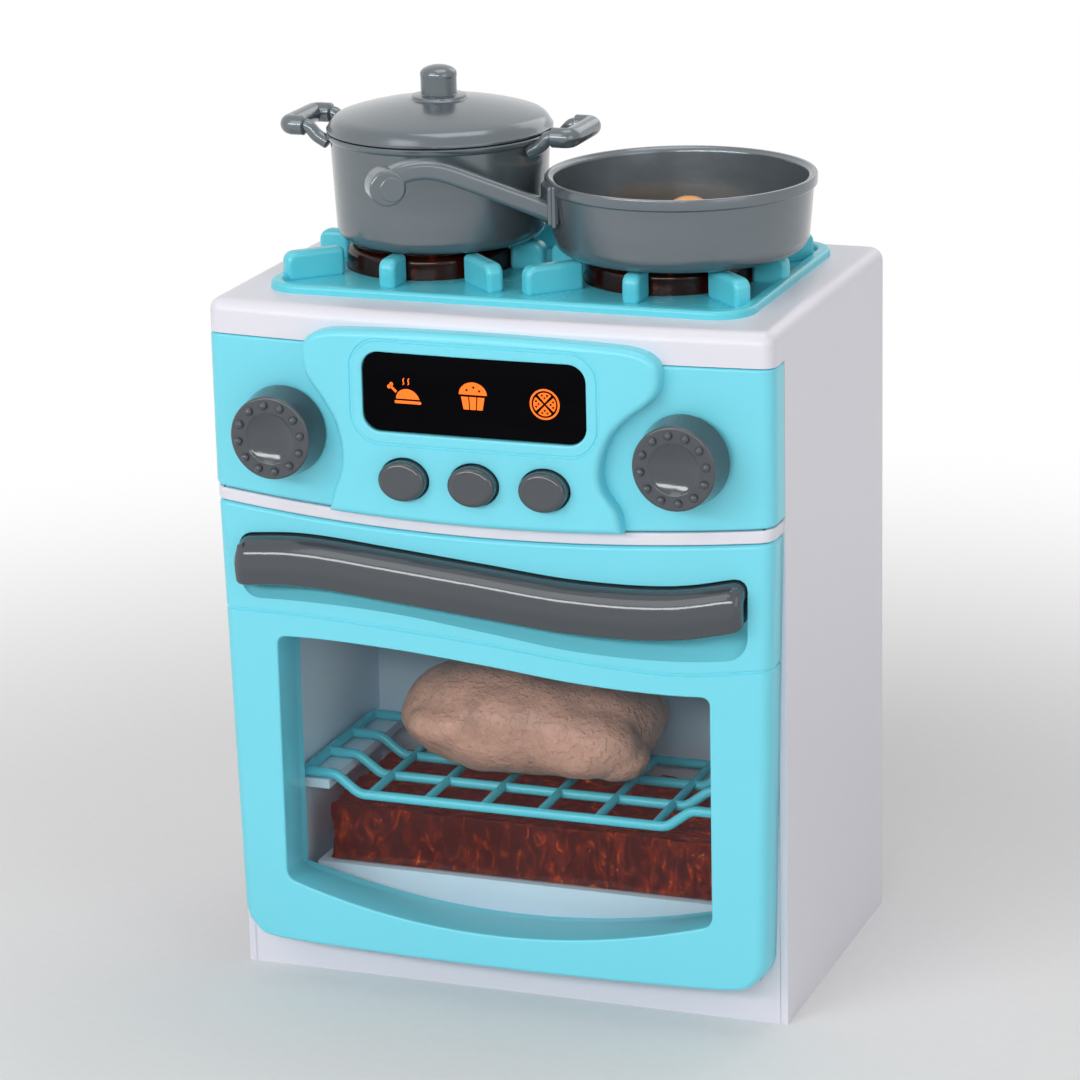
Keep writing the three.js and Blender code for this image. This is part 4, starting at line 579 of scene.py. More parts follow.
def silver_paint(colour):
    """Metal-effect plastic: fine flakes in a grey body with turned streaks."""
    look = Look("silver_paint", {"Metallic": 0.5, "IOR": 1.5, "Coat Weight": 0.3, "Coat Roughness": 0.06})
    base = light_of(colour)
    flakes = look.cells(5200.0)
    flow = look.noise(30.0, 4.0, 0.6, look.stretched((1.0, 1.0, 3.5)))
    tone = look.mix(flow, shade(base, 0.84), shade(base, 1.12))
    look.set("Base Color", look.mix(look.band(flakes, 0.25, 0.6) * 0.15, tone, shade(base, 1.4)))
    look.set("Roughness", 0.14 + flow * 0.1 + look.band(flakes, 0.3, 0.7) * 0.04)
    look.set("Normal", look.bump(flakes, 0.01, 0.5, look.bump(look.noise(180.0, 2.0), 0.05)))


def clear_look(name, colour, alpha, roughness):
    """See-through plastic with faint flow marks and dust."""
    look = Look(name, {"IOR": 1.46, "Specular IOR Level": 0.05})
    base = light_of(colour)
    flow = look.noise(16.0, 3.0, 0.6)
    dust = look.band(look.noise(1500.0, 2.0), 0.70, 0.78)
    look.set("Base Color", look.mix(flow, shade(base, 0.9), shade(base, 1.08)))
    look.set("Alpha", alpha + (flow - 0.5) * 0.04 + dust * 0.07)
    look.set("Roughness", roughness + dust * 0.3)
    look.set("Normal", look.bump(look.noise(40.0, 1.0), 0.08))


def ember_look(name, colour, glow):
    """Smoky amber plastic with streaks like coals, lit from inside."""
    look = Look(name, {"IOR": 1.5, "Specular IOR Level": 0.1, "Emission Strength": glow})
    base = light_of(colour)
    heat = look.noise(16.0, 3.0, 0.6)
    streaks = look.noise(260.0, 4.0, 0.7, look.stretched((1.0, 1.0, 0.5)), 1.2)
    warm = look.band(streaks * 0.75 + heat * 0.25, 0.44, 0.70)
    glints = look.band(look.noise(640.0, 2.0, 0.6), 0.66, 0.72)
    look.set("Base Color", look.mix(warm, shade(base, 0.3), light_of((0.48, 0.15, 0.04))))
    dim, hot = light_of((0.40, 0.10, 0.015)), light_of((0.93, 0.42, 0.07))
    fire = look.mix(look.band(streaks, 0.58, 0.8), dim, hot)
    ember = look.mix(warm, light_of((0.26, 0.055, 0.015)), fire)
    look.set("Emission Color", look.mix(glints * warm, ember, light_of((1.0, 0.66, 0.30))))
    look.set("Roughness", 0.25 + streaks * 0.25)
    look.set("Normal", look.bump(streaks, 0.6, 0.9))


def lens_look(name, colour):
    """Dark amber lens: clear enough to show the light behind it."""
    look = Look(name, {"IOR": 1.5, "Specular IOR Level": 0.35})
    base = light_of(colour)
    flow = look.noise(60.0, 3.0)
    look.set("Base Color", look.mix(flow, shade(base, 0.12), shade(base, 0.4)))
    look.set("Alpha", 0.82 + flow * 0.10)
    look.set("Roughness", 0.09 + flow * 0.08)
    look.set("Normal", look.bump(look.noise(300.0, 1.0), 0.04))


def lit_look(name, colour, strength):
    """A glowing print or lamp with slightly uneven light."""
    look = Look(name, {"Roughness": 0.35, "Emission Strength": strength})
    base = light_of(colour)
    grain = look.noise(900.0, 2.0)
    look.set("Base Color", look.mix(grain, shade(base, 0.85), base))
    look.set("Emission Color", look.mix(grain, shade(base, 0.8), base))


def glossy_black(name):
    """Black printed window with a deep shine and faint wipe marks."""
    look = Look(name, {"IOR": 1.45, "Specular IOR Level": 0.012})
    wipes = look.noise(26.0, 4.0, 0.65, look.stretched((0.5, 1.0, 4.0)))
    look.set("Base Color", look.mix(wipes, (0.0014, 0.0013, 0.0018, 1), (0.004, 0.004, 0.005, 1)))
    look.set("Roughness", 0.05 + look.band(wipes, 0.5, 0.8) * 0.09)
    look.set("Normal", look.bump(look.noise(90.0, 1.0), 0.02))


def roast_look(name, colour):
    """Roast skin: brown patches, pores and a greasy shine."""
    look = Look(name, {"IOR": 1.45, "Coat Weight": 0.15, "Coat Roughness": 0.3})
    base = light_of(colour)
    patches = look.noise(34.0, 5.0, 0.62, None, 0.5)
    pores = look.cells(420.0)
    pimples = look.band(look.noise(620.0, 2.0), 0.45, 0.75)
    tone = look.add("ValToRGB", {}, {"Fac": patches})
    ramp = tone.socket.node.color_ramp
    stops = ((0.32, shade(base, 0.62)), (0.48, base), (0.60, shade(base, 1.14)),
             (0.72, light_of((0.80, 0.60, 0.46))))
    while len(ramp.elements) < len(stops):
        ramp.elements.new(0.5)
    for element, (position, light) in zip(ramp.elements, stops):
        element.position = position
        element.color = light
    look.set("Base Color", look.mix(look.band(pores, 0.0, 0.35) * -0.25 + 0.25, tone, shade(base, 0.45)))
    look.set("Roughness", 0.42 + pimples * 0.15)
    look.set("Normal", look.bump(pimples, 0.3, 0.9, look.bump(look.noise(150.0, 4.0, 0.6), 1.1, 0.8)))


def food_look(name, colour, edge, spread, roughness):
    """Soft food plastic, with a second tone in patches."""
    look = Look(name, {"IOR": 1.45, "Coat Weight": 0.3, "Coat Roughness": 0.15})
    patches = look.noise(spread, 4.0, 0.6)
    look.set("Base Color", look.mix(look.band(patches, 0.45, 0.75), light_of(colour), light_of(edge)))
    look.set("Roughness", roughness + patches * 0.1)
    look.set("Normal", look.bump(look.noise(240.0, 3.0), 0.15))


def metal_look(name, colour, roughness):
    """Bright metal with fine turned marks."""
    look = Look(name, {"Metallic": 1.0})
    base = light_of(colour)
    marks = look.noise(900.0, 3.0, 0.6, look.stretched((1.0, 0.2, 1.0)))
    look.set("Base Color", look.mix(marks, shade(base, 0.85), shade(base, 1.05)))
    look.set("Roughness", roughness + marks * 0.15)
    look.set("Normal", look.bump(marks, 0.02))


def board_look(name):
    """Green circuit board with paler tracks."""
    look = Look(name, {"IOR": 1.5, "Coat Weight": 0.3})
    look.set("Base Color", look.add("TexBrick", {}, {
        "Vector": look.place, "Scale": 220.0, "Mortar Size": 0.12, "Color1": light_of((0.10, 0.36, 0.20)),
        "Color2": light_of((0.12, 0.40, 0.23)), "Mortar": light_of((0.20, 0.52, 0.30))}))
    look.set("Roughness", 0.35 + look.noise(300.0) * 0.2)


def finishes():
    user = bpy.context.scene.oven_finish
    plastic("turquoise_plastic", user.turquoise, 0.30, 0.035)
    plastic("hob_plastic", user.hob_turquoise, 0.27, 0.04)
    plastic("white_plastic", user.white, 0.33, 0.02)
    plastic("graphite_plastic", user.graphite, 0.10, 0.07, 0.03, 0.004, 0.6)
    plastic("black_plastic", (0.13, 0.135, 0.14), 0.42, 0.08)
    # The cavity lining is pale grey plastic with a painted blue cast: the light thrown into the cavity from
    # blue surroundings, put into its colour.
    plastic("lining_plastic", (0.86, 0.94, 1.0), 0.40, 0.10)
    plastic("rubber", (0.80, 0.80, 0.77), 0.72, 0.06)
    plastic("cell_wrap", (0.21, 0.28, 0.42), 0.35, 0.08)
    silver_paint(user.silver)
    clear_look("pane", (0.48, 0.54, 0.60), 0.03, 0.05)
    ember_look("ember_plastic", user.amber, user.glow)
    lens_look("amber_lens", user.amber)
    lit_look("icon_print", user.icon, 0.75)
    # Lamp glow, also used for the painted highlight at the front edge of each burner lens.
    lit_look("lamp_glow", (1.0, 0.32, 0.04), 2.2)
    glossy_black("display_gloss")
    roast_look("roast_skin", user.roast)
    food_look("egg_white_skin", (0.95, 0.94, 0.90), (0.90, 0.84, 0.70), 60.0, 0.28)
    food_look("yolk_skin", (0.96, 0.63, 0.14), (0.98, 0.72, 0.22), 90.0, 0.2)
    metal_look("steel", (0.74, 0.75, 0.76), 0.25)
    board_look("board")
    kept = {
        "white_plastic": "base_plate rear_cover battery_cover",
        "turquoise_plastic": "door_inner_frame",
        "pane": "door_window",
        "lining_plastic": "cavity_liner",
        "black_plastic": "light_carrier_left light_carrier_right speaker speaker_clamp power_switch"
                         " switch_housing",
        "rubber": "key_mat",
        "board": "main_board burner_light_left burner_light_right glow_lights",
        "cell_wrap": "battery_1 battery_2 battery_3",
        "steel": "knob_clip_left knob_clip_right hinge_pin_left hinge_pin_right contact_plate_left"
                 " contact_plate_right battery_screw rear_screw_1 rear_screw_2 rear_screw_3 rear_screw_4",
    }
    for look, nodes in kept.items():
        for node in nodes.split():
            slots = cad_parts[node].data.materials
            slots.clear()
            slots.append(looks[look].material)


# Casing, cap and hob

def casing():
    bm = bmesh.new()
    wall = 2.4
    inner, middle_x = HALF_WIDTH - wall, HALF_WIDTH - CORNER_RADIUS
    rear_x = middle_x - 2
    plan = [(inner, BODY_FACE), (HALF_WIDTH, BODY_FACE)]
    plan += arc(middle_x, BACK - CORNER_RADIUS, CORNER_RADIUS, 0, 90, 8)
    plan += [(rear_x, BACK), (rear_x, BACK - wall), (inner, BACK - CORNER_RADIUS)]
    for side in SIDES.values():
        faces = filled(bm, [[(side * x, y) for x, y in plan]], 0, False)
        push(bm, faces, (0, 0, PANEL_TOP), keep=True)
    liner_low, liner_high = corners("cavity_liner")
    lap = 1.6
    mouth, sill, lintel = 76.3, liner_low.z + lap, liner_high.z - lap
    half = inner + 0.1
    front = [(half, 0), (half, PANEL_TOP), (-half, PANEL_TOP), (-half, 0)]
    opening = [(mouth, sill), (mouth, lintel), (-mouth, lintel), (-mouth, sill)]
    push(bm, filled(bm, [front, opening], BODY_FACE + wall), (0, -wall, 0), keep=True)
    casing_strip(bm)
    lug_half, lug_radius = 3.5, 3.6
    for side in SIDES.values():
        x = side * (HALF_WIDTH - 16.5)
        rod(bm, (x - lug_half, HINGE_Y, HINGE_Z), (x + lug_half, HINGE_Y, HINGE_Z), lug_radius)
        foot = (x - lug_half, HINGE_Y, HINGE_Z - lug_radius)
        brick(bm, foot, (x + lug_half, BODY_FACE + 1, HINGE_Z + 1.5), 0.3)
    piece(bm, "casing", "casing", "white_plastic", ["body_shell"])


def casing_strip(bm):
    """The white strip that shows between the door and the panel."""
    low, high = DOOR_TOP + 0.35, PANEL_FOOT - 0.3
    set_back, full_depth, corner_depth = 0.1, 9.0, 4.4
    rows = [(low, full_depth)] + [(low + z, depth) for z, depth in edge_rows(0.5)]
    rows += [(high + low - z, depth) for z, depth in reversed(rows)]

    def place(point, way, z, depth):
        at = point + way * min(depth + set_back, corner_depth)
        if depth == full_depth and abs(way.x) < 0.5:
            at.y = max(at.y, BODY_FACE)
        at.z = seam(z, point.x)
        return at

    grid(bm, wrapped_columns(HALF_WIDTH - 0.3, BODY_FACE + 0.5), rows, place)


def cap():
    bm = bmesh.new()
    soft, proud = 4.2, 0.25
    x, y = HALF_WIDTH - CORNER_RADIUS, BACK - CORNER_RADIUS
    plan = [(p.x, p.y + proud) for p, _ in wrapped_columns(HALF_WIDTH, y)]
    plan += arc(x, y, CORNER_RADIUS, 0, 90, 8)[1:] + arc(-x, y, CORNER_RADIUS, 90, 180, 8)[:-1]
    slab(bm, plan, PANEL_TOP, CAP_TOP, soft, False, 8)
    piece(bm, "hob_cap_shell", "casing", "white_plastic", ["hob_cap"])


def hob():
    bm = bmesh.new()
    y = middle("hob_plate").y
    half = half_size("hob_plate")
    radius = half_size("burner_lens_left").x
    burners = {side: middle(f"burner_lens_{side}") for side in SIDES}
    rim, corner, clearance = 1.2, 12, 0.3
    rings = [(0.0, plate_low.z), (0.0, PLATE_TOP - rim)]
    rings += [(rim - rim * c, PLATE_TOP - rim + rim * s) for c, s in arc(0, 0, 1, 20, 90, 4)]
    rings += [(3.0, PLATE_TOP)] + [(3.0 + s, PLATE_TOP - 1 + c) for c, s in arc(0, 0, 1, 20, 80, 3)]
    rings += [(4.2, TRAY_FLOOR + 0.3), (4.6, TRAY_FLOOR)]
    loops = bridged(bm, [(rounded(half.x - g, half.y - g, corner - g, 0, y, 12), z) for g, z in rings], False)
    bmesh.ops.triangle_fill(bm, edges=loops[0])
    floor = loops[-1]
    for burner in burners.values():
        hole = oval(radius + clearance, radius + clearance, burner.x, burner.y, 64)
        floor += bridged(bm, [(hole, TRAY_FLOOR), (hole, plate_low.z)], False)[0]
    bmesh.ops.triangle_fill(bm, use_beauty=True, edges=floor)
    for burner in burners.values():
        for i in range(8):
            prong(bm, burner, i)
    piece(bm, "hob_plate_shell", "casing", "hob_plastic", ["hob_plate"])
    for side, burner in burners.items():
        lens(side, burner, radius)


def prong(bm, burner, index):
    """One prong: a block with soft edges and a top that falls away at its outer end."""
    inner, outer = (30.0, 49.2) if index % 2 else (26.9, 38.0)
    outer = min(outer, plate_high.x + burner.x) if index == 4 else outer
    width, fall, soft = 5.4, 3.2, 1.6
    low, high = TRAY_FLOOR - 0.6, plate_high.z
    part = bmesh.new()
    made = bmesh.ops.create_cube(part, size=1, matrix=sized(
        ((inner + outer) / 2, 0, (low + high) / 2), (outer - inner, width, high - low)))
    crown = {e for v in made["verts"] for e in v.link_edges
             if all(p.co.x > outer - 0.01 and p.co.z > high - 0.01 for p in e.verts)}
    soften(part, crown, fall, 6)
    part.normal_update()
    soften(part, [e for e in part.edges if e.calc_face_angle(0) > 0.6], soft, 4)
    turn = Matrix.Rotation(index * math.pi / 4, 4, "Z")
    merged(bm, part, Matrix.Translation((burner.x, burner.y, 0)) @ turn)


def lens(side, burner, radius):
    low, high = corners(f"burner_lens_{side}")
    soft, wall, top, foot = 2.4, 1.4, high.z, low.z
    crown = [(radius - soft + soft * s, top - soft + soft * c) for c, s in arc(0, 0, 1, 0, 90, 6)]
    inner = [(r - wall, z - wall) for r, z in reversed(crown)]
    bm = bmesh.new()
    turned(bm, [(0, top), (radius * 0.5, top), *crown, (radius, foot), (radius - wall, foot), *inner,
                (radius * 0.5, top - wall), (0, top - wall)], (burner.x, burner.y, 0))
    piece(bm, f"lens_{side}", "casing", "amber_lens", [f"burner_lens_{side}"])
    # A black disc on the cap under each lens is painted shade: it darkens the lens where the white cap below
    # lies in shade.
    bm = bmesh.new()
    shade_radius, low, high = radius - 2, CAP_TOP + 0.15, CAP_TOP + 0.6
    turned(bm, [(0, low), (shade_radius, low), (shade_radius, high), (0, high)], (burner.x, burner.y, 0), "Z", 48)
    piece(bm, f"burner_well_{side}", "casing", "black_plastic")
    bm = bmesh.new()
    # Two glowing spots in each lens: the middle one is the burner's lamp, the front one is a painted
    # highlight where the lamp's light catches the lens's front edge.
    for dx, dy in ((2.6, -21.5), (0, 0)):
        spot = sized((burner.x + dx, burner.y + dy, CAP_TOP + 1.8), (1, 1, 1.7))
        bmesh.ops.create_icosphere(bm, subdivisions=3, radius=0.9, matrix=spot)
    piece(bm, f"burner_lamp_{side}", "casing", "lamp_glow")


# Control panel

def panel_skin():
    bm = bmesh.new()
    rim = size("rim")
    edge = edge_rows(rim)
    rows = [(False, 0.0, None)] + [(False, z, d) for z, d in edge] + [(False, 12.0, 0.0), (True, 24.0, 0.0)]
    rows += [(True, z * 0.6, d * 0.6) for z, d in reversed(edge)] + [(True, 0.0, None)]

    def place(point, way, from_top, z, depth):
        if depth is None:
            at = Vector((point.x - math.copysign(min(abs(way.x), 1) * rim, point.x), DOOR_REAR, 0))
        else:
            at = point + way * depth
        at.z = PANEL_TOP - 0.3 - z if from_top else seam(PANEL_FOOT, point.x) + z
        return at

    grid(bm, wrapped_columns(HALF_WIDTH, DOOR_REAR), rows, place)
    piece(bm, "panel_skin", "casing", "turquoise_plastic", ["control_panel"])


def bulge_half(side, top_half, foot_half, waist):
    """One half of the hourglass outline of the raised middle, from the top down to its foot."""
    top = panel_high.z
    shoulder = (top_half - 12, top - 1.2)
    half = [(0.0, top), *bend_points((0, top), (20, top), (34, top - 0.6), shoulder, 8)]
    line = bend_points(shoulder, (top_half - 3, top - 2), (top_half + 0.9, top - 4.5),
                       (top_half + 0.1, PANEL_TOP - 4), 8)
    half += line[:-1]
    foot = (foot_half, seam(PANEL_FOOT, foot_half) + 0.4)
    through = [line[-1], *((x, PANEL_TOP - drop) for x, drop in waist), foot]
    curve = smooth_path([Vector((x, 0, z)) for x, z in through], 4)
    half += [(at.x, at.z) for at in curve if at.z > foot[1] + 3.4] + [foot]
    half += [(x, seam(PANEL_FOOT, x) + 0.4) for x in (36, 24, 12)]
    return [(x * side, z) for x, z in half]


def panel_bulge():
    """The raised middle, with its waist narrower at the right, its groove, and its holes."""
    right = bulge_half(1, 57.4, 45.4, (
        (56.6, 8.2), (53.2, 12.0), (48.2, 15.6), (43.4, 20.4), (40.3, 26.5), (39.0, 33.0), (39.8, 38.0),
        (42.0, 41.4), (44.2, 44.8)))
    left = bulge_half(-1, 55.6, 48.2, (
        (54.8, 8.6), (52.4, 12.6), (49.0, 17.0), (45.8, 22.4), (44.0, 28.4), (43.5, 34.0), (44.3, 39.0),
        (45.9, 43.0), (47.2, 47.0)))
    bm = bmesh.new()
    soft = 2.2
    faces = filled(bm, [right + [(0.0, seam(PANEL_FOOT, 0) + 0.4)] + left[:0:-1]], 0.5)
    bmesh.ops.dissolve_faces(bm, faces=faces)
    faces = push(bm, bm.faces[:], (0, -(BULGE_PROUD + 0.5 - soft), 0), keep=True)
    bm.normal_update()
    round_over(bm, faces, soft, 6)
    rim_edges = [e for f in faces for e in f.edges if sum(g in faces for g in e.link_faces) == 1]
    bmesh.ops.delete(bm, geom=faces, context="FACES_ONLY")
    half_x, half_z, z = halves("display_window")
    gap, groove, around = 0.25, size("groove"), 3.7

    def rings(steps):
        return bridged(bm, [
            (rounded(half_x + gap + g, half_z + gap + g, 5.5 + g, 0, z, 10), depth - BULGE_PROUD)
            for g, depth in steps])

    dip = ((0.5, 0), (0.25, 0.4), (-0.25, 0.4), (-0.5, 0))
    loops = rings([(around + groove * share, depth) for share, depth in dip])
    recess = rings(((0.8, 0.0), (0.35, 0.1), (0.1, 0.35), (0.0, 0.8), (0.0, 3.4)))
    face_edges = rim_edges + loops[0]
    for name in ("left", "middle", "right"):
        button, (b_half_x, b_half_z, _) = middle(f"button_{name}"), halves(f"button_{name}")
        hole = bridged(bm, [(oval(b_half_x + g, b_half_z + g, button.x, button.z), depth - BULGE_PROUD)
                            for g, depth in ((0.85, 0.0), (0.5, 0.12), (0.35, 0.5), (0.35, 4.2))])
        face_edges += hole[0]
    bmesh.ops.triangle_fill(bm, use_beauty=True, edges=face_edges)
    bmesh.ops.triangle_fill(bm, use_beauty=True, edges=loops[-1] + recess[0])
    drape(bm, 4.0)
    piece(bm, "panel_bulge", "casing", "turquoise_plastic")


def display():
    low, high = corners("display_window")
    z = (low.z + high.z) / 2
    bm = bmesh.new()
    slab(bm, rounded((high.x - low.x) / 2, (high.z - low.z) / 2, 5.5, 0, z, 10), high.y, low.y, 0.4)
    piece(bm, "display_face", "casing", "display_gloss", ["display_window"])
    print_gap = 0.02
    icons = (("roast", -21.2, roast_icon, 1.0), ("cake", 0.0, cake_icon, 1.14),
             ("pizza", 22.6, pizza_icon, 1.0))
    for name, x, build, grow in icons:
        bm = bmesh.new()
        for loops in build():
            filled(bm, loops)
        for vert in bm.verts:
            rise = (vert.co.z - 0.3) * grow + (grow - 1) * 4
            vert.co = Vector((x + vert.co.x * grow, low.y - print_gap, z + rise))
        piece(bm, f"icon_{name}", "casing", "icon_print", flip_check=False)


def roast_icon():
    """A round joint on a plate with a bone and steam."""
    body = bend_points((-3.4, -1.4), (-3.2, 2.4), (2.6, 3.0), (4.2, -1.4), 12)
    shapes = [[(-3.4, -1.4), *body], rounded(4.3, 0.45, 0.44, 0.4, -2.4, 4),
              [(-5.4, 2.2), (-4.9, 2.7), (-3.0, 0.9), (-3.5, 0.3)], oval(0.62, 0.62, -5.5, 2.1, 16),
              oval(0.62, 0.62, -4.8, 2.9, 16)]
    for x in (-0.9, 0.7):
        right = [(x, 2.9), *bend_points((x, 2.9), (x + 0.9, 3.6), (x - 0.5, 4.1), (x + 0.5, 5.0), 8)]
        shapes.append(right + [(a - 0.38, b) for a, b in reversed(right)])
    return [[shape] for shape in shapes]


def cake_icon():
    """A small cake with a domed top over a pleated cup."""
    dome = [(a, 0.7 + b * 0.86) for a, b in arc(0, 0, 3.9, 0, 180, 18)]
    shapes = [[dome, *(oval(0.34, 0.34, x, z, 10) for x, z in ((-1.7, 1.9), (0.2, 2.7), (1.8, 1.8)))]]
    for i in range(3):
        a, lean = i * 2.3 - 3.3, (i - 1) * 0.45
        shapes.append([[(a, 0.1), (a + 1.95, 0.1), (a + 1.75 - lean, -3.3), (a + 0.2 - lean, -3.3)]])
    return shapes


def pizza_icon():
    """A round cut in four, in a ring."""
    shapes = [[oval(4.7, 4.7, 0, 0, 40), oval(4.1, 4.1, 0, 0, 40)]]
    for start in (0, 90, 180, 270):
        x, z = arc(0, 0, 0.42, start, start, 1)[0]
        dots = [arc(x, z, r, start + t, start + t, 1)[0] for r, t in ((1.5, 0), (2.4, -20), (2.4, 20))]
        shapes.append([[(x, z), *arc(x, z, 3.15, start - 42, start + 42, 10)],
                       *(oval(0.36, 0.36, a, b, 10) for a, b in dots)])
    return shapes


# Knobs and buttons

def knob(side):
    low = corners(f"knob_{side}")[0]
    at = middle(f"knob_{side}")
    radius = half_size(f"knob_{side}").x
    reach, dish, beads, bead_ring = 11.0, 7.4, 12, 10.2
    face = low.y + 0.6
    face_radius = radius - 1.1
    profile = [(0, 0), (radius - 0.6, 0), (radius, 0.3), (radius, 1.2), (face_radius + 0.35, reach * 0.55)]
    profile += [(face_radius - 0.9 + 0.9 * math.cos(t), reach - 0.9 + 0.9 * math.sin(t))
                for t in map(math.radians, (0, 22, 45, 68, 90))]
    profile += [(8.3, reach), (7.9, reach - 0.12), (7.6, reach - 0.4)]
    profile += [(dish * s, reach - 0.5 - 1.75 * (1 - s * s))
                for s in (0.97, 0.9, 0.8, 0.7, 0.55, 0.4, 0.25, 0.12, 0)]
    bm = bmesh.new()
    turned(bm, profile, (at.x, face + reach, at.z), "Y", 96)
    for i in range(beads):
        turn = math.radians(i * 360 / beads + 8)
        spot = (at.x + bead_ring * math.cos(turn), face - 0.25, at.z + bead_ring * math.sin(turn))
        bmesh.ops.create_icosphere(bm, subdivisions=3, radius=size("bead"), matrix=Matrix.Translation(spot))
    piece(bm, f"{side}_knob_cap", f"{side}_knob", "graphite_plastic", [f"knob_{side}"], 60)


def button(name):
    at, half = middle(f"button_{name}"), half_size(f"button_{name}")
    proud, shoulder, shoulder_height, foot = 4.0, 0.28, 1.7, -2.4
    profile = [(0, foot), (1.0, foot)]
    profile += [(1 - shoulder + shoulder * c, proud - shoulder_height + shoulder_height * s)
                for c, s in arc(0, 0, 1, 0, 90, 9)]
    profile += [(r, proud - drop)
                for r, drop in ((0.68, 0.03), (0.64, 0.10), (0.4, 0.06), (0.15, 0.04), (0, 0.04))]
    bm = bmesh.new()
    verts = turned(bm, profile, (0, 0, 0), "Z", 64)
    place = Matrix.Translation((at.x, corners(f"button_{name}")[0].y + proud, at.z))
    stretch = Matrix.Diagonal((half.x, half.z, 1, 1))
    bmesh.ops.transform(bm, matrix=place @ Matrix.Rotation(math.pi / 2, 4, "X") @ stretch, verts=verts)
    piece(bm, f"{name}_button_cap", f"{name}_button", "graphite_plastic", [f"button_{name}"], 60)


def controls():
    for side in SIDES:
        knob(side)
    for name in ("left", "middle", "right"):
        button(name)


# Door

SCOOP_END = HANDLE_HALF + 0.7


def door_half(z):
    """Half width of the door at a height: it draws in below and its lower corners are cut round."""
    foot, cut = HALF_WIDTH - 3.5, 10.0
    if z >= DOOR_FOOT + cut:
        return foot + (DOOR_HALF - foot) * (z - DOOR_FOOT - cut) / (DOOR_TOP - DOOR_FOOT - cut)
    below = (DOOR_FOOT + cut - z) / cut
    return foot - cut * (1 - math.sqrt(max(1 - below * below, 0)))


def window_foot(x):
    return WINDOW_MIDDLE_FOOT + (WINDOW_SIDE_FOOT - WINDOW_MIDDLE_FOOT) * min(abs(x) / WINDOW_HALF, 1) ** 2


def window_top(x):
    return wave(WINDOW_LINE, x)


def end_drop(x, radius):
    """How far the scoop's edge has turned in near its end."""
    past = min(max((abs(x) - SCOOP_END + radius) / radius, 0), 1)
    return radius * (1 - math.sqrt(1 - past * past))


def scoop_low(x):
    return wave(SCOOP_LINE, x) + end_drop(x, 6.5)


def scoop_high(x):
    return handle_height(x) + HANDLE_THICK / 2 + 0.7 - end_drop(x, 4.6)


def part_way(low, high, share):
    return lambda x: low(x) + (high(x) - low(x)) * share


def door_rows():
    """Rows of the door's sheet from its foot up: height, depth, and whether it belongs to the scoop."""
    rim, groove, scoop = size("rim"), size("groove"), size("scoop")
    edge = edge_rows(rim)
    rows = [(lambda x: DOOR_FOOT, None, False)]
    rows += [(lambda x, z=z: DOOR_FOOT + z, d, False) for z, d in edge + [(5, 0), (8.4, 0)]]
    rows += [(part_way(window_foot, window_top, s), 0, False) for s in (0, 0.25, 0.5, 0.75, 1)]
    rows += [(lambda x, k=k: wave(GROOVE_LINE, x) + k * groove, d, False)
             for k, d in ((-0.5, 0), (-0.22, 0.45), (0.22, 0.45), (0.5, 0))]
    full = 0.42
    rows += [(part_way(scoop_low, scoop_high, s), scoop * (1 - (1 - min(s / full, 1)) ** 2) ** 0.9, True)
             for s in (0, 0.03, 0.08, 0.15, 0.23, 0.32, full, 0.6, 0.8, 0.995)]
    rows += [(scoop_high, scoop * 0.35, True), (scoop_high, 0.12, True)]
    rows += [(lambda x: scoop_high(x) + 0.3, 0, True)]
    rows += [(lambda x, z=z: seam(DOOR_TOP, x) - z, d, False) for z, d in reversed(edge)]
    return rows + [(lambda x: seam(DOOR_TOP, x), None, False)]


def door_place(point, way, height, depth, in_scoop):
    z = height(point.x)
    if depth is None:
        back = DOOR_REAR - 2.2 * (z < 20)
        at = Vector((point.x - math.copysign(abs(way.x) * size("rim"), point.x), back, z))
    else:
        inside = min(max((SCOOP_END - abs(point.x)) / 0.35, 0), 1)
        at = point + way * (depth * (1 - (1 - inside) ** 2) if in_scoop else depth)
        at.z = z
    if z < HINGE_Z:
        heel = HINGE_Y + math.sqrt(max(HEEL_RADIUS**2 - (HINGE_Z - z) ** 2, 0)) - 0.1
        at.y = min(at.y, heel)
    fixed = WINDOW_HALF + 2.0
    if abs(at.x) > fixed:
        past = (abs(at.x) - fixed) * (door_half(z) - fixed) / (DOOR_HALF - fixed)
        at.x = math.copysign(fixed + past, at.x)
    return at


def turn_share(edge):
    """1 where the two faces of an edge lie in one plane, 0 where they stand square."""
    first, second = edge.link_faces
    return abs(first.normal.dot(second.normal))


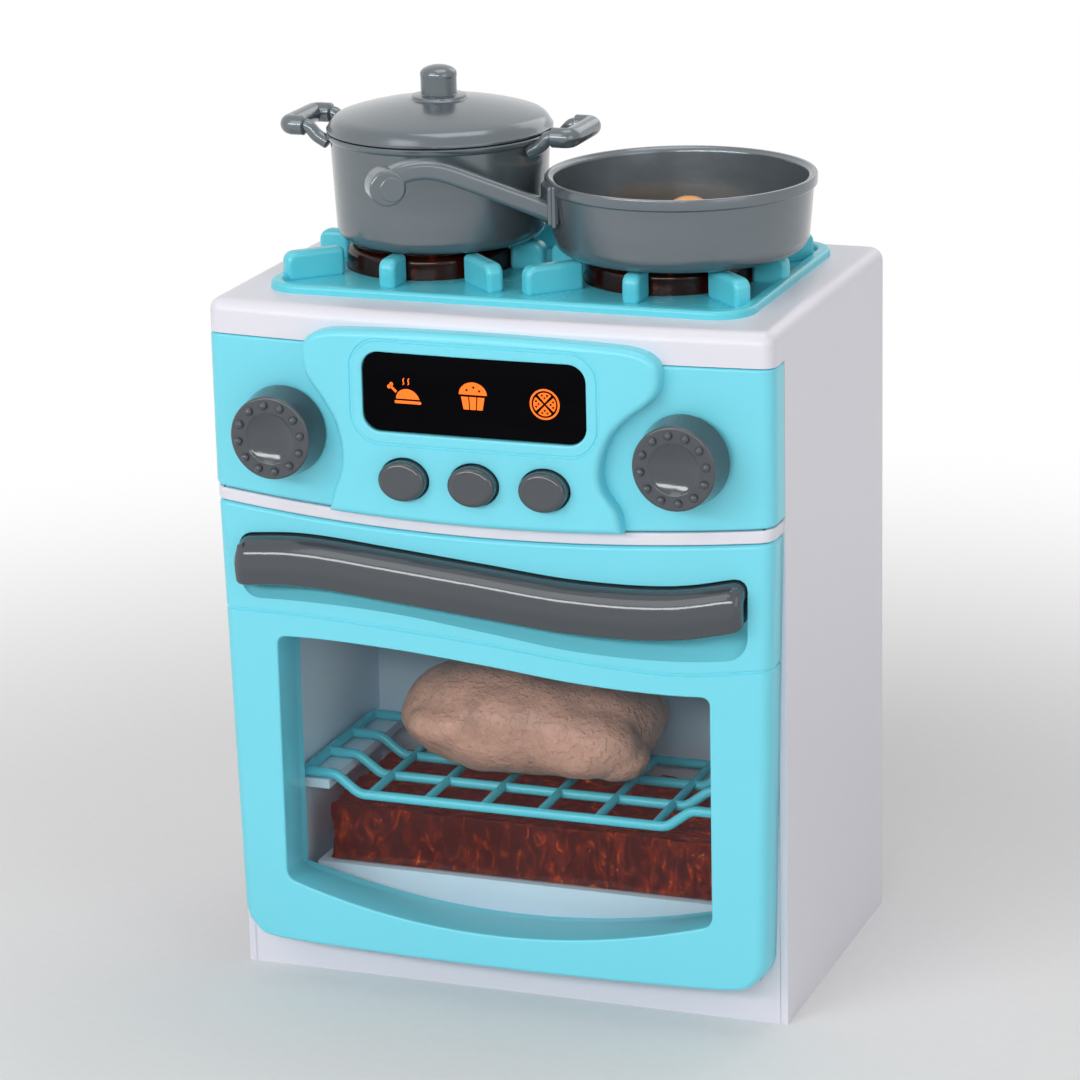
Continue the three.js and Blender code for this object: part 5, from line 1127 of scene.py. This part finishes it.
def open_window(bm):
    """Cuts the window out of the door's sheet and gives it a wall, round corners and a soft rim."""
    bm.normal_update()
    hole = []
    for face in bm.faces:
        at = face.calc_center_median()
        inside = abs(at.x) < WINDOW_HALF and window_foot(at.x) < at.z < window_top(at.x)
        if inside and abs(face.normal.y) > 0.5:
            hole.append(face)
    bmesh.ops.delete(bm, geom=hole, context="FACES")
    rim_edges = [e for e in bm.edges if e.is_boundary and all(
        abs(v.co.x) < WINDOW_HALF + 0.1 and 24 < v.co.z < 118 and v.co.y < DOOR_REAR - 5 for v in e.verts)]
    for part in bmesh.ops.extrude_edge_only(bm, edges=rim_edges)["geom"]:
        if isinstance(part, bmesh.types.BMVert):
            part.co.y = DOOR_REAR - 0.2
    turns = []
    for edge in bm.edges:
        a, b = (v.co for v in edge.verts)
        along = abs(a.z - b.z) < 0.01 and abs(a.y - b.y) > 3
        if along and abs(abs(a.x) - WINDOW_HALF) < 0.01 and abs(abs(b.x) - WINDOW_HALF) < 0.01:
            if abs(a.z - window_top(a.x)) < 0.05 or abs(a.z - WINDOW_SIDE_FOOT) < 0.05:
                turns.append(edge)
    soften(bm, turns, 2.6, 6)
    rims = [e for e in bm.edges if len(e.link_faces) == 2 and turn_share(e) < 0.5
            and all(abs(v.co.y - bow(v.co.x)) < 0.02 and abs(v.co.x) < WINDOW_HALF + 1 for v in e.verts)]
    bm.normal_update()
    soften(bm, [e for e in rims if turn_share(e) < 0.6], 0.9, 4, True)


def door_front():
    bm = bmesh.new()
    ends = [SCOOP_END - step for step in (0, 0.35, 1.1, 2.4, 4.2, 6.5)]
    extra = [side * x for side in (-1, 1) for x in (WINDOW_HALF, *ends)]
    grid(bm, wrapped_columns(DOOR_HALF, DOOR_REAR, extra), door_rows(), door_place)
    open_window(bm)
    made = piece(bm, "door_front", "door", "turquoise_plastic", ["door_frame"], 34)
    wall = made.modifiers.new("wall", "SOLIDIFY")
    wall.thickness = 2.2 / THOUSAND
    wall.offset = -1
    made.modifiers.move(1, 0)


def door_handle():
    """A waved grip: a large round upper edge, a top that reaches into the door and closed ends."""
    bm = bmesh.new()
    half, reach, z, back = HANDLE_HALF, HANDLE_REACH, HANDLE_THICK / 2, 5.6
    section = [(back, z - 2.6), (back, z)]
    section += [(6 - reach - 6 * c, z - 8 + 8 * s) for c, s in reversed(arc(0, 0, 1, 0, 90, 12))]
    section += [(0.9 * t * t - reach, -0.6 - (z - 2.4) * t) for t in (0.2, 0.4, 0.6, 0.8)]
    section += [(2.2 - reach - 1.3 * c, 1.2 - z - 1.2 * s) for c, s in arc(0, 0, 1, 0, 90, 4)]
    section += [(2.9 - reach, -z), (3.3 - reach, 0.5 - z), (3.0 - reach, z - 5.0), (4.4 - reach, z - 2.6)]
    faces = [bm.faces.new([bm.verts.new((-half, y, at)) for y, at in section])]
    soft, count = 4.0, 56
    steps = [soft * (1 - math.cos(math.pi / 2 * i / 7)) for i in range(1, 8)]
    inner = half - soft
    places = [s - half for s in steps] + [-inner + 2 * inner * i / count for i in range(1, count)]
    places += [half - s for s in reversed(steps)] + [half]
    last = -half
    for x in places:
        faces = push(bm, faces, (x - last, 0, 0), keep=last == -half)
        last = x
    for side in (-1, 1):
        a, b = sorted((side * (half - 3.4), side * (half - 1.0)))
        brick(bm, (a, 1.4 - reach, -z + 0.6), (b, back, z - 1.0), 0.4)
    for vert in bm.verts:
        near = half - abs(vert.co.x)
        if near < soft:
            share = soft * (1 - math.sqrt(max(1 - (1 - near / soft) ** 2, 0)))
            vert.co.y += share * 0.55 * max(0, -vert.co.y) / reach
            vert.co.z -= share * max(0, vert.co.z / z) - share * 0.35 * max(0, -vert.co.z / z)
        vert.co.y += bow(vert.co.x)
        vert.co.z += handle_height(vert.co.x)
    piece(bm, "door_handle_bar", "door", "graphite_plastic", ["door_handle"], 50)


# Inside of the oven

def embers():
    low, high = corners("glow_bed")
    bm = bmesh.new()
    brick(bm, low, high, 1.5, 2)
    for cuts, axis in ((44, 0), (20, 1), (8, 2)):
        for i in range(1, cuts):
            at, way = Vector(), Vector()
            at[axis] = low[axis] + (high[axis] - low[axis]) * i / cuts
            way[axis] = 1
            cut_across(bm, at, way)
    bm.normal_update()
    for vert in bm.verts:
        if vert.co.z > low.z + 1:
            inward = 1.9 * noise.voronoi(vert.co / 9.0)[0][0] + 0.5 * noise.noise(vert.co / 2.3) + 0.3
            vert.co -= vert.normal * max(inward, 0)
    piece(bm, "ember_hood", "casing", "ember_plastic", ["glow_bed"], 75)


def rack():
    low, high = corners("rack")
    radius, inset, shelf, slope, rods = 1.6, 1.5, 10.4, 18.4, 4
    left, right, near, far = low.x + inset, high.x - inset, low.y + inset, high.y - inset
    flat, top = low.z + inset, high.z - inset
    bm = bmesh.new()
    for i in range(rods):
        y = near + (far - near) * i / (rods - 1)
        line = [(left, y, top), (left + shelf, y, top), (left + slope, y, flat), (right - slope, y, flat),
                (right - shelf, y, top), (right, y, top)]
        wire(bm, line, radius)
    for x in (left, right):
        wire(bm, [(x, near - 1.2, top), (x, far + 1.2, top)], radius)
    for i in range(6):
        x = (left + right) / 2 + (i - 2.5) * 19
        wire(bm, [(x, near - 0.6, flat + 0.4), (x, far + 0.6, flat + 0.4)], radius * 0.86)
    piece(bm, "wire_rack", "oven_rack", "hob_plastic", ["rack"], 60)


def wire(bm, points, radius):
    """A round wire along points with softly bent corners."""
    curve = bpy.data.curves.new("wire", "CURVE")
    curve.dimensions = "3D"
    curve.bevel_depth = radius / THOUSAND
    curve.bevel_resolution = 4
    curve.use_fill_caps = True
    spline = curve.splines.new("POLY")
    points = [Vector(p) for p in points]
    smooth = points[:1]
    for a, b, c in zip(points, points[1:], points[2:]):
        start, end = b + (a - b).normalized() * 2.2, b + (c - b).normalized() * 2.2
        smooth += [start.lerp(b, t).lerp(b.lerp(end, t), t) for t in (0, 0.25, 0.5, 0.75, 1)]
    smooth.append(points[-1])
    spline.points.add(len(smooth) - 1)
    for point, place in zip(spline.points, smooth):
        point.co = (*(place / THOUSAND), 1)
    made = bpy.data.objects.new("wire", curve)
    bpy.context.scene.collection.objects.link(made)
    merged(bm, taken(made), Matrix())


def roast():
    low, high = corners("roast")
    at, half = (low + high) / 2, (high - low) / 2
    bm = bmesh.new()
    lumps = [((-0.08, 0.0, 0.0), (0.90, 0.96, 0.98)), ((0.30, 0.0, -0.04), (0.70, 0.92, 0.90)),
             ((0.42, -0.50, -0.10), (0.52, 0.48, 0.66)), ((0.42, 0.50, -0.10), (0.52, 0.48, 0.66)),
             ((0.72, -0.42, -0.36), (0.27, 0.30, 0.42)), ((-0.46, -0.66, 0.02), (0.34, 0.30, 0.36)),
             ((-0.46, 0.66, 0.02), (0.34, 0.30, 0.36)), ((-0.55, 0.0, -0.10), (0.44, 0.70, 0.72))]
    for centre, reach in lumps:
        place = sized(at + Vector(centre) * half, Vector(reach) * half)
        bmesh.ops.create_icosphere(bm, subdivisions=4, radius=1, matrix=place)
    whole = added(bm, "roast_lumps")
    skin = whole.modifiers.new("skin", "REMESH")
    skin.mode = "VOXEL"
    skin.voxel_size = 1.1 / THOUSAND
    ease = whole.modifiers.new("ease", "SMOOTH")
    ease.factor = 0.5
    ease.iterations = 5
    bm = taken(whole)
    bm.normal_update()
    spare = 0.5
    for vert in bm.verts:
        vert.co += vert.normal * (noise.noise(vert.co / 13.0) + noise.noise(vert.co / 4.2) * 0.35)
        vert.co.z = max(vert.co.z, low.z)
        for k in range(3):
            vert.co[k] = min(max(vert.co[k], low[k] - spare), high[k] + spare)
    piece(bm, "roast_joint", "roast_piece", "roast_skin", ["roast"], 80)


# Cookware

def pot():
    at, base = middle("pot"), corners("pot")[0].z
    top = corners("pot_lid")[0].z + 2.1
    radius, foot = 34.2, 32.8
    bm = bmesh.new()
    profile = [(0, base + 0.4), (foot - 6.5, base + 0.4), (foot - 5.6, base), (foot - 4.2, base)]
    profile += [(foot - 4.2 + 4.2 * s, base + 4.2 - 4.2 * c) for c, s in arc(0, 0, 1, 15, 90, 5)]
    profile += [(radius + r, top - z) for r, z in (
        (-0.1, 2.2), (0.5, 1.8), (0.9, 1.3), (1.0, 0.4), (0.7, 0), (-1.5, 0), (-1.8, 0.5))]
    profile += [(foot - r, base + z) for r, z in ((1.9, 6), (2.6, 3.6), (4.4, 2.2), (6.8, 1.8))]
    profile.append((0, base + 1.8))
    turned(bm, profile, (at.x, at.y, 0), "Z", 112)
    z = top + 1.1
    reach = 10.7
    for side in (-1, 1):
        def path(line, steps):
            return smooth_path([Vector((at.x + side * (radius + x), at.y + y, h)) for x, y, h in line], steps)

        for end in (-reach, reach):
            neck = ((-0.9, end, top - 3.9), (2.6, end, top - 1.9), (5.2, end, z - 0.4), (7.4, end, z))
            round_bar(bm, path(neck, 6), 2.1)
        grip = [(6.9, reach, z), (9.2, reach, z)]
        grip += [(10.9, 10.6, z), (12.0, 9.6, z), (12.3, 7.8, z), (12.3, 0, z)]
        grip += [(x, -y, z) for x, y, z in reversed(grip[:-1])]
        round_bar(bm, path(grip, 5), 3.1)
    piece(bm, "pot_body", "cooking_pot", "silver_paint", ["pot"], 38)


def lid():
    at = middle("pot_lid")
    edge, inset = 35.2, 2.6
    base = corners("pot_lid")[0].z + 2.4
    dome, knob_foot = edge - inset, base + 9.3
    profile = [(r, base + z) for r, z in (
        (0, 8.0), (dome * 0.45, 6.9), (dome * 0.75, 5.0), (30.3, 2.6), (30.3, -2.3), (32.1, -2.3), (32.1, 0))]
    profile += [(edge - r, base + z) for r, z in (
        (0.4, 0), (0, 0.3), (0, 0.8), (0.3, 1.1), (0.7, 1.9), (1.3, 2.9), (2.0, 3.7), (2.5, 4.05))]
    profile += [(dome * s, base + 4.2 + 5.5 * math.cos(s * math.pi / 2) ** 0.8)
                for s in (0.985, 0.95, 0.9, 0.82, 0.72, 0.6, 0.48, 0.38, 0.29)]
    profile += [(r, knob_foot + z) for r, z in (
        (8.9, 0.05), (8.6, 0.3), (8.5, 0.9), (8.1, 1.15), (6.0, 1.2), (5.6, 1.5), (5.6, 6.4), (5.7, 7.0),
        (5.7, 7.6))]
    profile += [(5.7 * c, knob_foot + 7.7 + 2.7 * s) for c, s in arc(0, 0, 1, 12, 90, 7)]
    bm = bmesh.new()
    turned(bm, profile, (at.x, at.y, 0), "Z", 112)
    piece(bm, "pot_lid_dome", "lid", "silver_paint", ["pot_lid"], 38)


def pan():
    low, high = corners("pan")
    radius, foot = 40.6, 39.2
    pot_at = middle("pot")
    centre = Vector((pot_at.x + middle("burner_lens_right").x - middle("burner_lens_left").x, pot_at.y, 0))
    base, top = low.z, high.z
    profile = [(0, base + 0.4), (foot - 7.6, base + 0.4), (foot - 6.8, base), (foot - 5.0, base)]
    profile += [(foot - 5.0 + 5.0 * s, base + 5.0 - 5.0 * c) for c, s in arc(0, 0, 1, 18, 90, 4)]
    profile += [(radius + r, top - z) for r, z in (
        (-0.1, 3.9), (0.3, 3.4), (0.9, 3.1), (1.0, 2.6), (1.0, 0.4), (0.7, 0), (-0.2, 0), (-0.6, 0.5),
        (-1.6, 0.9), (-1.9, 1.6))]
    profile += [(foot - r, base + z) for r, z in ((1.9, 6.6), (2.7, 4.0), (4.6, 2.3), (7.4, 1.8))]
    profile.append((0, base + 1.8))
    bm = bmesh.new()
    turned(bm, profile, centre, "Z", 120)
    move = Matrix.Translation(centre) @ Matrix.Rotation(math.radians(215), 4, "Z")
    part = bmesh.new()
    brick(part, (radius - 0.9, -4.5, top - 12.6), (radius + 2.6, 4.5, top - 0.7), 0.7)
    brick(part, (radius + 0.2, -5.6, top - 13.2), (radius + 1.6, 5.6, top - 0.5), 0.5)
    merged(bm, part, move)
    piece(bm, "pan_bowl", "frying_pan", "silver_paint", ["pan"], 38)
    pan_handle(move, radius + 2.9, top - 8.1)


def pan_handle(move, start, foot):
    """The hooked handle: a soft oblong section along its line, with a round eye at the tip."""
    reach, rise = 50.0, 14.8
    shares = ((-0.05, -0.07), (0.22, 0.34), (0.42, 0.64), (0.66, 0.97), (0.84, 1.0), (1.0, 0.78))
    path = smooth_path([Vector((start + a * reach, 0, foot + b * rise)) for a, b in shares], 8)
    bm = bmesh.new()
    section = rounded(3.8, 3.1, 1.7, 0, 0, 4)
    rings = []
    for i, point in enumerate(path):
        ahead = (path[min(i + 1, len(path) - 1)] - path[max(i - 1, 0)]).normalized()
        side = Vector((0, 1, 0))
        share = i / (len(path) - 1)
        up = ahead.cross(side) * -(1.0 - 0.10 * math.sin(share * math.pi))
        side *= 1.0 if share < 0.9 else 0.96
        rings.append([point + side * a + up * b for a, b in section])
    faces = [bm.faces.new([bm.verts.new(p) for p in rings[0]])]
    for ring in rings[1:]:
        faces = push(bm, faces, (0, 0, 0), keep=len(bm.faces) == 1)
        for vert, place in zip(faces[0].verts, ring):
            vert.co = place
    tip = path[-1]
    for half, back, drop, radius, soft in ((4.1, 1.4, 0.8, 5.6, 0.9), (4.35, 2.6, 1.2, 3.9, 0.5)):
        x, z = tip.x - back, tip.z - drop
        rod(bm, (x, -half, z), (x, half, z), radius, soft, 40)
    bmesh.ops.transform(bm, matrix=move, verts=bm.verts[:])
    piece(bm, "pan_grip", "frying_pan", "silver_paint", ["pan_handle"], 50)


def egg():
    foot = corners("egg_white")[0].z
    radius, curl = 15.5, 2.5
    bm = bmesh.new()
    profile = ((0, 0), (0.93, 0), (0.98, 0.5), (1.0, 1.2), (0.97, 2.1), (0.90, 2.8), (0.78, 3.2), (0.6, 3.3),
               (0.3, 3.4), (0, 3.4))
    turned(bm, [(r * radius, foot + z) for r, z in profile], (0, 0, 0), "Z", 96)
    for vert in bm.verts:
        angle = math.atan2(vert.co.y, vert.co.x)
        spread = 1 + 0.07 * math.sin(3 * angle + 0.6) + 0.04 * math.sin(5 * angle)
        vert.co.x, vert.co.y = vert.co.x * spread, vert.co.y * spread
        if vert.co.z > foot + curl:
            vert.co.z += 0.25 * noise.noise(vert.co / 5)
    at = middle("egg_yolk")
    bmesh.ops.translate(bm, verts=bm.verts[:], vec=(at.x, at.y, 0))
    piece(bm, "egg_white_skirt", "fried_egg", "egg_white_skin", ["egg_white"], 70)
    low, high = corners("egg_yolk")
    reach = (high.x - low.x) / 2
    dome = [(reach * c, low.z + (high.z - low.z) * s**0.9) for c, s in arc(0, 0, 1, 0, 90, 12)[:-1]]
    bm = bmesh.new()
    turned(bm, [(0, low.z), *dome, (0, high.z)], (at.x, at.y, 0), "Z", 64)
    piece(bm, "egg_yolk_dome", "fried_egg", "yolk_skin", ["egg_yolk"], 70)


# Stage

def stage_floor():
    bm = bmesh.new()
    bmesh.ops.create_grid(bm, x_segments=8, y_segments=8, size=4000)
    made = added(bm, "floor")
    look = Look("floor_paper", {"Roughness": 0.9, "Specular IOR Level": 0.2})
    look.set("Base Color", look.mix(look.noise(300.0, 3.0), (0.80, 0.80, 0.80, 1), (0.84, 0.84, 0.84, 1)))
    made.data.materials.append(look.material)
    away = look.add("VectorMath", {"operation": "LENGTH"}, {0: look.place}, "Value")
    white = look.add("Emission", {}, {"Color": (1, 1, 1, 1), "Strength": 1.0})
    both = look.add("MixShader", {}, {
        0: look.band(away, 0.16, 0.62) * look.seen(), 1: Value(look, look.shader.outputs[0]), 2: white})
    look.put(look.tree.nodes["Material Output"].inputs["Surface"], both)


def stage_world(scene):
    """A white world that lights the oven more weakly than it shows."""
    shown, lighting = 1.0, 0.38
    scene.world = bpy.data.worlds.new("studio")
    scene.world.use_nodes = True
    tree = scene.world.node_tree
    path = tree.nodes.new("ShaderNodeLightPath")
    seen = path.outputs["Is Camera Ray"]
    for ray in ("Is Glossy Ray", "Is Transmission Ray"):
        either = tree.nodes.new("ShaderNodeMath")
        either.operation = "MAXIMUM"
        tree.links.new(seen, either.inputs[0])
        tree.links.new(path.outputs[ray], either.inputs[1])
        seen = either.outputs[0]
    level = tree.nodes.new("ShaderNodeMath")
    level.operation = "MULTIPLY_ADD"
    tree.links.new(seen, level.inputs[0])
    level.inputs[1].default_value = shown - lighting
    level.inputs[2].default_value = lighting
    back = tree.nodes["Background"]
    back.inputs["Color"].default_value = (1, 1, 1, 1)
    tree.links.new(level.outputs[0], back.inputs["Strength"])


def lamp(scene, name, place, power, width, height):
    data = bpy.data.lights.new(name, "AREA")
    data.energy = power
    data.shape = "RECTANGLE"
    data.size, data.size_y = width, height
    made = bpy.data.objects.new(name, data)
    scene.collection.objects.link(made)
    made.location = place
    made.rotation_euler = (Vector((0, 0, 0.13)) - Vector(place)).to_track_quat("-Z", "Y").to_euler()


def stage_camera(scene):
    """A long lens to the right of the oven and a little above it, looking down."""
    azimuth, pitch, roll = math.radians(20.5), math.radians(16.7), math.radians(-1.33)
    flat = math.cos(pitch)
    away = Vector((-math.sin(azimuth) * flat, math.cos(azimuth) * flat, -math.sin(pitch)))
    right = Vector((math.cos(azimuth), math.sin(azimuth), 0))
    up = right.cross(away)
    leaned_right = right * math.cos(roll) + up * math.sin(roll)
    leaned_up = up * math.cos(roll) - right * math.sin(roll)
    data = bpy.data.cameras.new("camera")
    data.sensor_width = 36
    data.lens = 139.6
    data.clip_start, data.clip_end = 0.05, 20
    scene.camera = bpy.data.objects.new("camera", data)
    scene.collection.objects.link(scene.camera)
    axes = Matrix((leaned_right, leaned_up, -away)).transposed()
    scene.camera.matrix_world = Matrix.Translation((0.4376, -1.1868, 0.5131)) @ axes.to_4x4()


def stage():
    scene = bpy.context.scene
    scene.view_settings.view_transform = "Standard"
    stage_floor()
    stage_world(scene)
    lamp(scene, "key", (-0.55, -1.15, 1.25), 2.6, 0.7, 0.7)
    lamp(scene, "fill", (1.25, -0.75, 0.6), 2.4, 0.8, 0.8)
    lamp(scene, "top", (0.1, 0.1, 1.35), 2.8, 0.7, 0.7)
    lamp(scene, "rear", (0.4, 1.2, 0.9), 2.0, 0.8, 0.8)
    lamp(scene, "strip", (-0.25, -1.35, 0.69), 10.5, 1.9, 0.15)
    stage_camera(scene)


# Operators, panel and registration

class OvenPiece(bpy.types.Operator):
    """Builds one piece or group of like pieces."""

    bl_options = {"REGISTER", "UNDO"}

    def execute(self, context):
        for build in self.builds:
            build()
        return {"FINISHED"}


class OVEN_OT_stage(OvenPiece):
    """Set the floor, the soft studio lights, the world and the camera"""

    bl_idname = "oven.stage"
    bl_label = "Stage"
    builds = (stage,)


class OVEN_OT_finishes(OvenPiece):
    """Make the oven's materials and give them to the CAD nodes that stay"""

    bl_idname = "oven.finishes"
    bl_label = "Finishes"
    builds = (finishes,)


class OVEN_OT_casing(OvenPiece):
    """Build the white casing with its front wall, strip and hinge lugs"""

    bl_idname = "oven.casing"
    bl_label = "Casing"
    builds = (casing,)


class OVEN_OT_cap(OvenPiece):
    """Build the white cap with its soft upper edge"""

    bl_idname = "oven.cap"
    bl_label = "Hob cap"
    builds = (cap,)


class OVEN_OT_hob(OvenPiece):
    """Build the hob plate with its two rings of prongs, the lenses, their lamps and a painted highlight in
    each lens
    """

    bl_idname = "oven.hob"
    bl_label = "Hob"
    builds = (hob,)


class OVEN_OT_panel(OvenPiece):
    """Build the control panel with its raised middle, groove, display and icons"""

    bl_idname = "oven.panel"
    bl_label = "Control panel"
    builds = (panel_skin, panel_bulge, display)


class OVEN_OT_controls(OvenPiece):
    """Build the two knobs and the three oval buttons"""

    bl_idname = "oven.controls"
    bl_label = "Knobs and buttons"
    builds = (controls,)


class OVEN_OT_door(OvenPiece):
    """Build the door's moulded front and its waved handle"""

    bl_idname = "oven.door"
    bl_label = "Door"
    builds = (door_front, door_handle)


class OVEN_OT_cavity(OvenPiece):
    """Build the ember bed, the wire rack and the roast"""

    bl_idname = "oven.cavity"
    bl_label = "Inside of the oven"
    builds = (embers, rack, roast)


class OVEN_OT_cookware(OvenPiece):
    """Build the pot, its lid, the pan and the fried egg"""

    bl_idname = "oven.cookware"
    bl_label = "Cookware"
    builds = (pot, lid, pan, egg)


OPERATORS = (
    OVEN_OT_stage, OVEN_OT_finishes, OVEN_OT_casing, OVEN_OT_cap, OVEN_OT_hob, OVEN_OT_panel,
    OVEN_OT_controls, OVEN_OT_door, OVEN_OT_cavity, OVEN_OT_cookware,
)


class OVEN_PT_pieces(bpy.types.Panel):
    """Sizes, colours and pieces of the toy oven."""

    bl_label = "Toy oven"
    bl_idname = "OVEN_PT_pieces"
    bl_space_type = "VIEW_3D"
    bl_region_type = "UI"
    bl_category = "Toy oven"

    def draw(self, context):
        column = self.layout.column()
        for name in OvenFinish.__annotations__:
            column.prop(context.scene.oven_finish, name)
        for operator in OPERATORS:
            column.operator(operator.bl_idname)


def register():
    for kind in (OvenFinish, *OPERATORS, OVEN_PT_pieces):
        bpy.utils.register_class(kind)
    bpy.types.Scene.oven_finish = bpy.props.PointerProperty(type=OvenFinish)


def unregister():
    del bpy.types.Scene.oven_finish
    for kind in reversed((OvenFinish, *OPERATORS, OVEN_PT_pieces)):
        bpy.utils.unregister_class(kind)


def main():
    register()
    for operator in OPERATORS:
        space, name = operator.bl_idname.split(".")
        if getattr(getattr(bpy.ops, space), name)() != {"FINISHED"}:
            raise RuntimeError(f"{operator.bl_idname} did not finish")


if __name__ == "__main__":
    main()
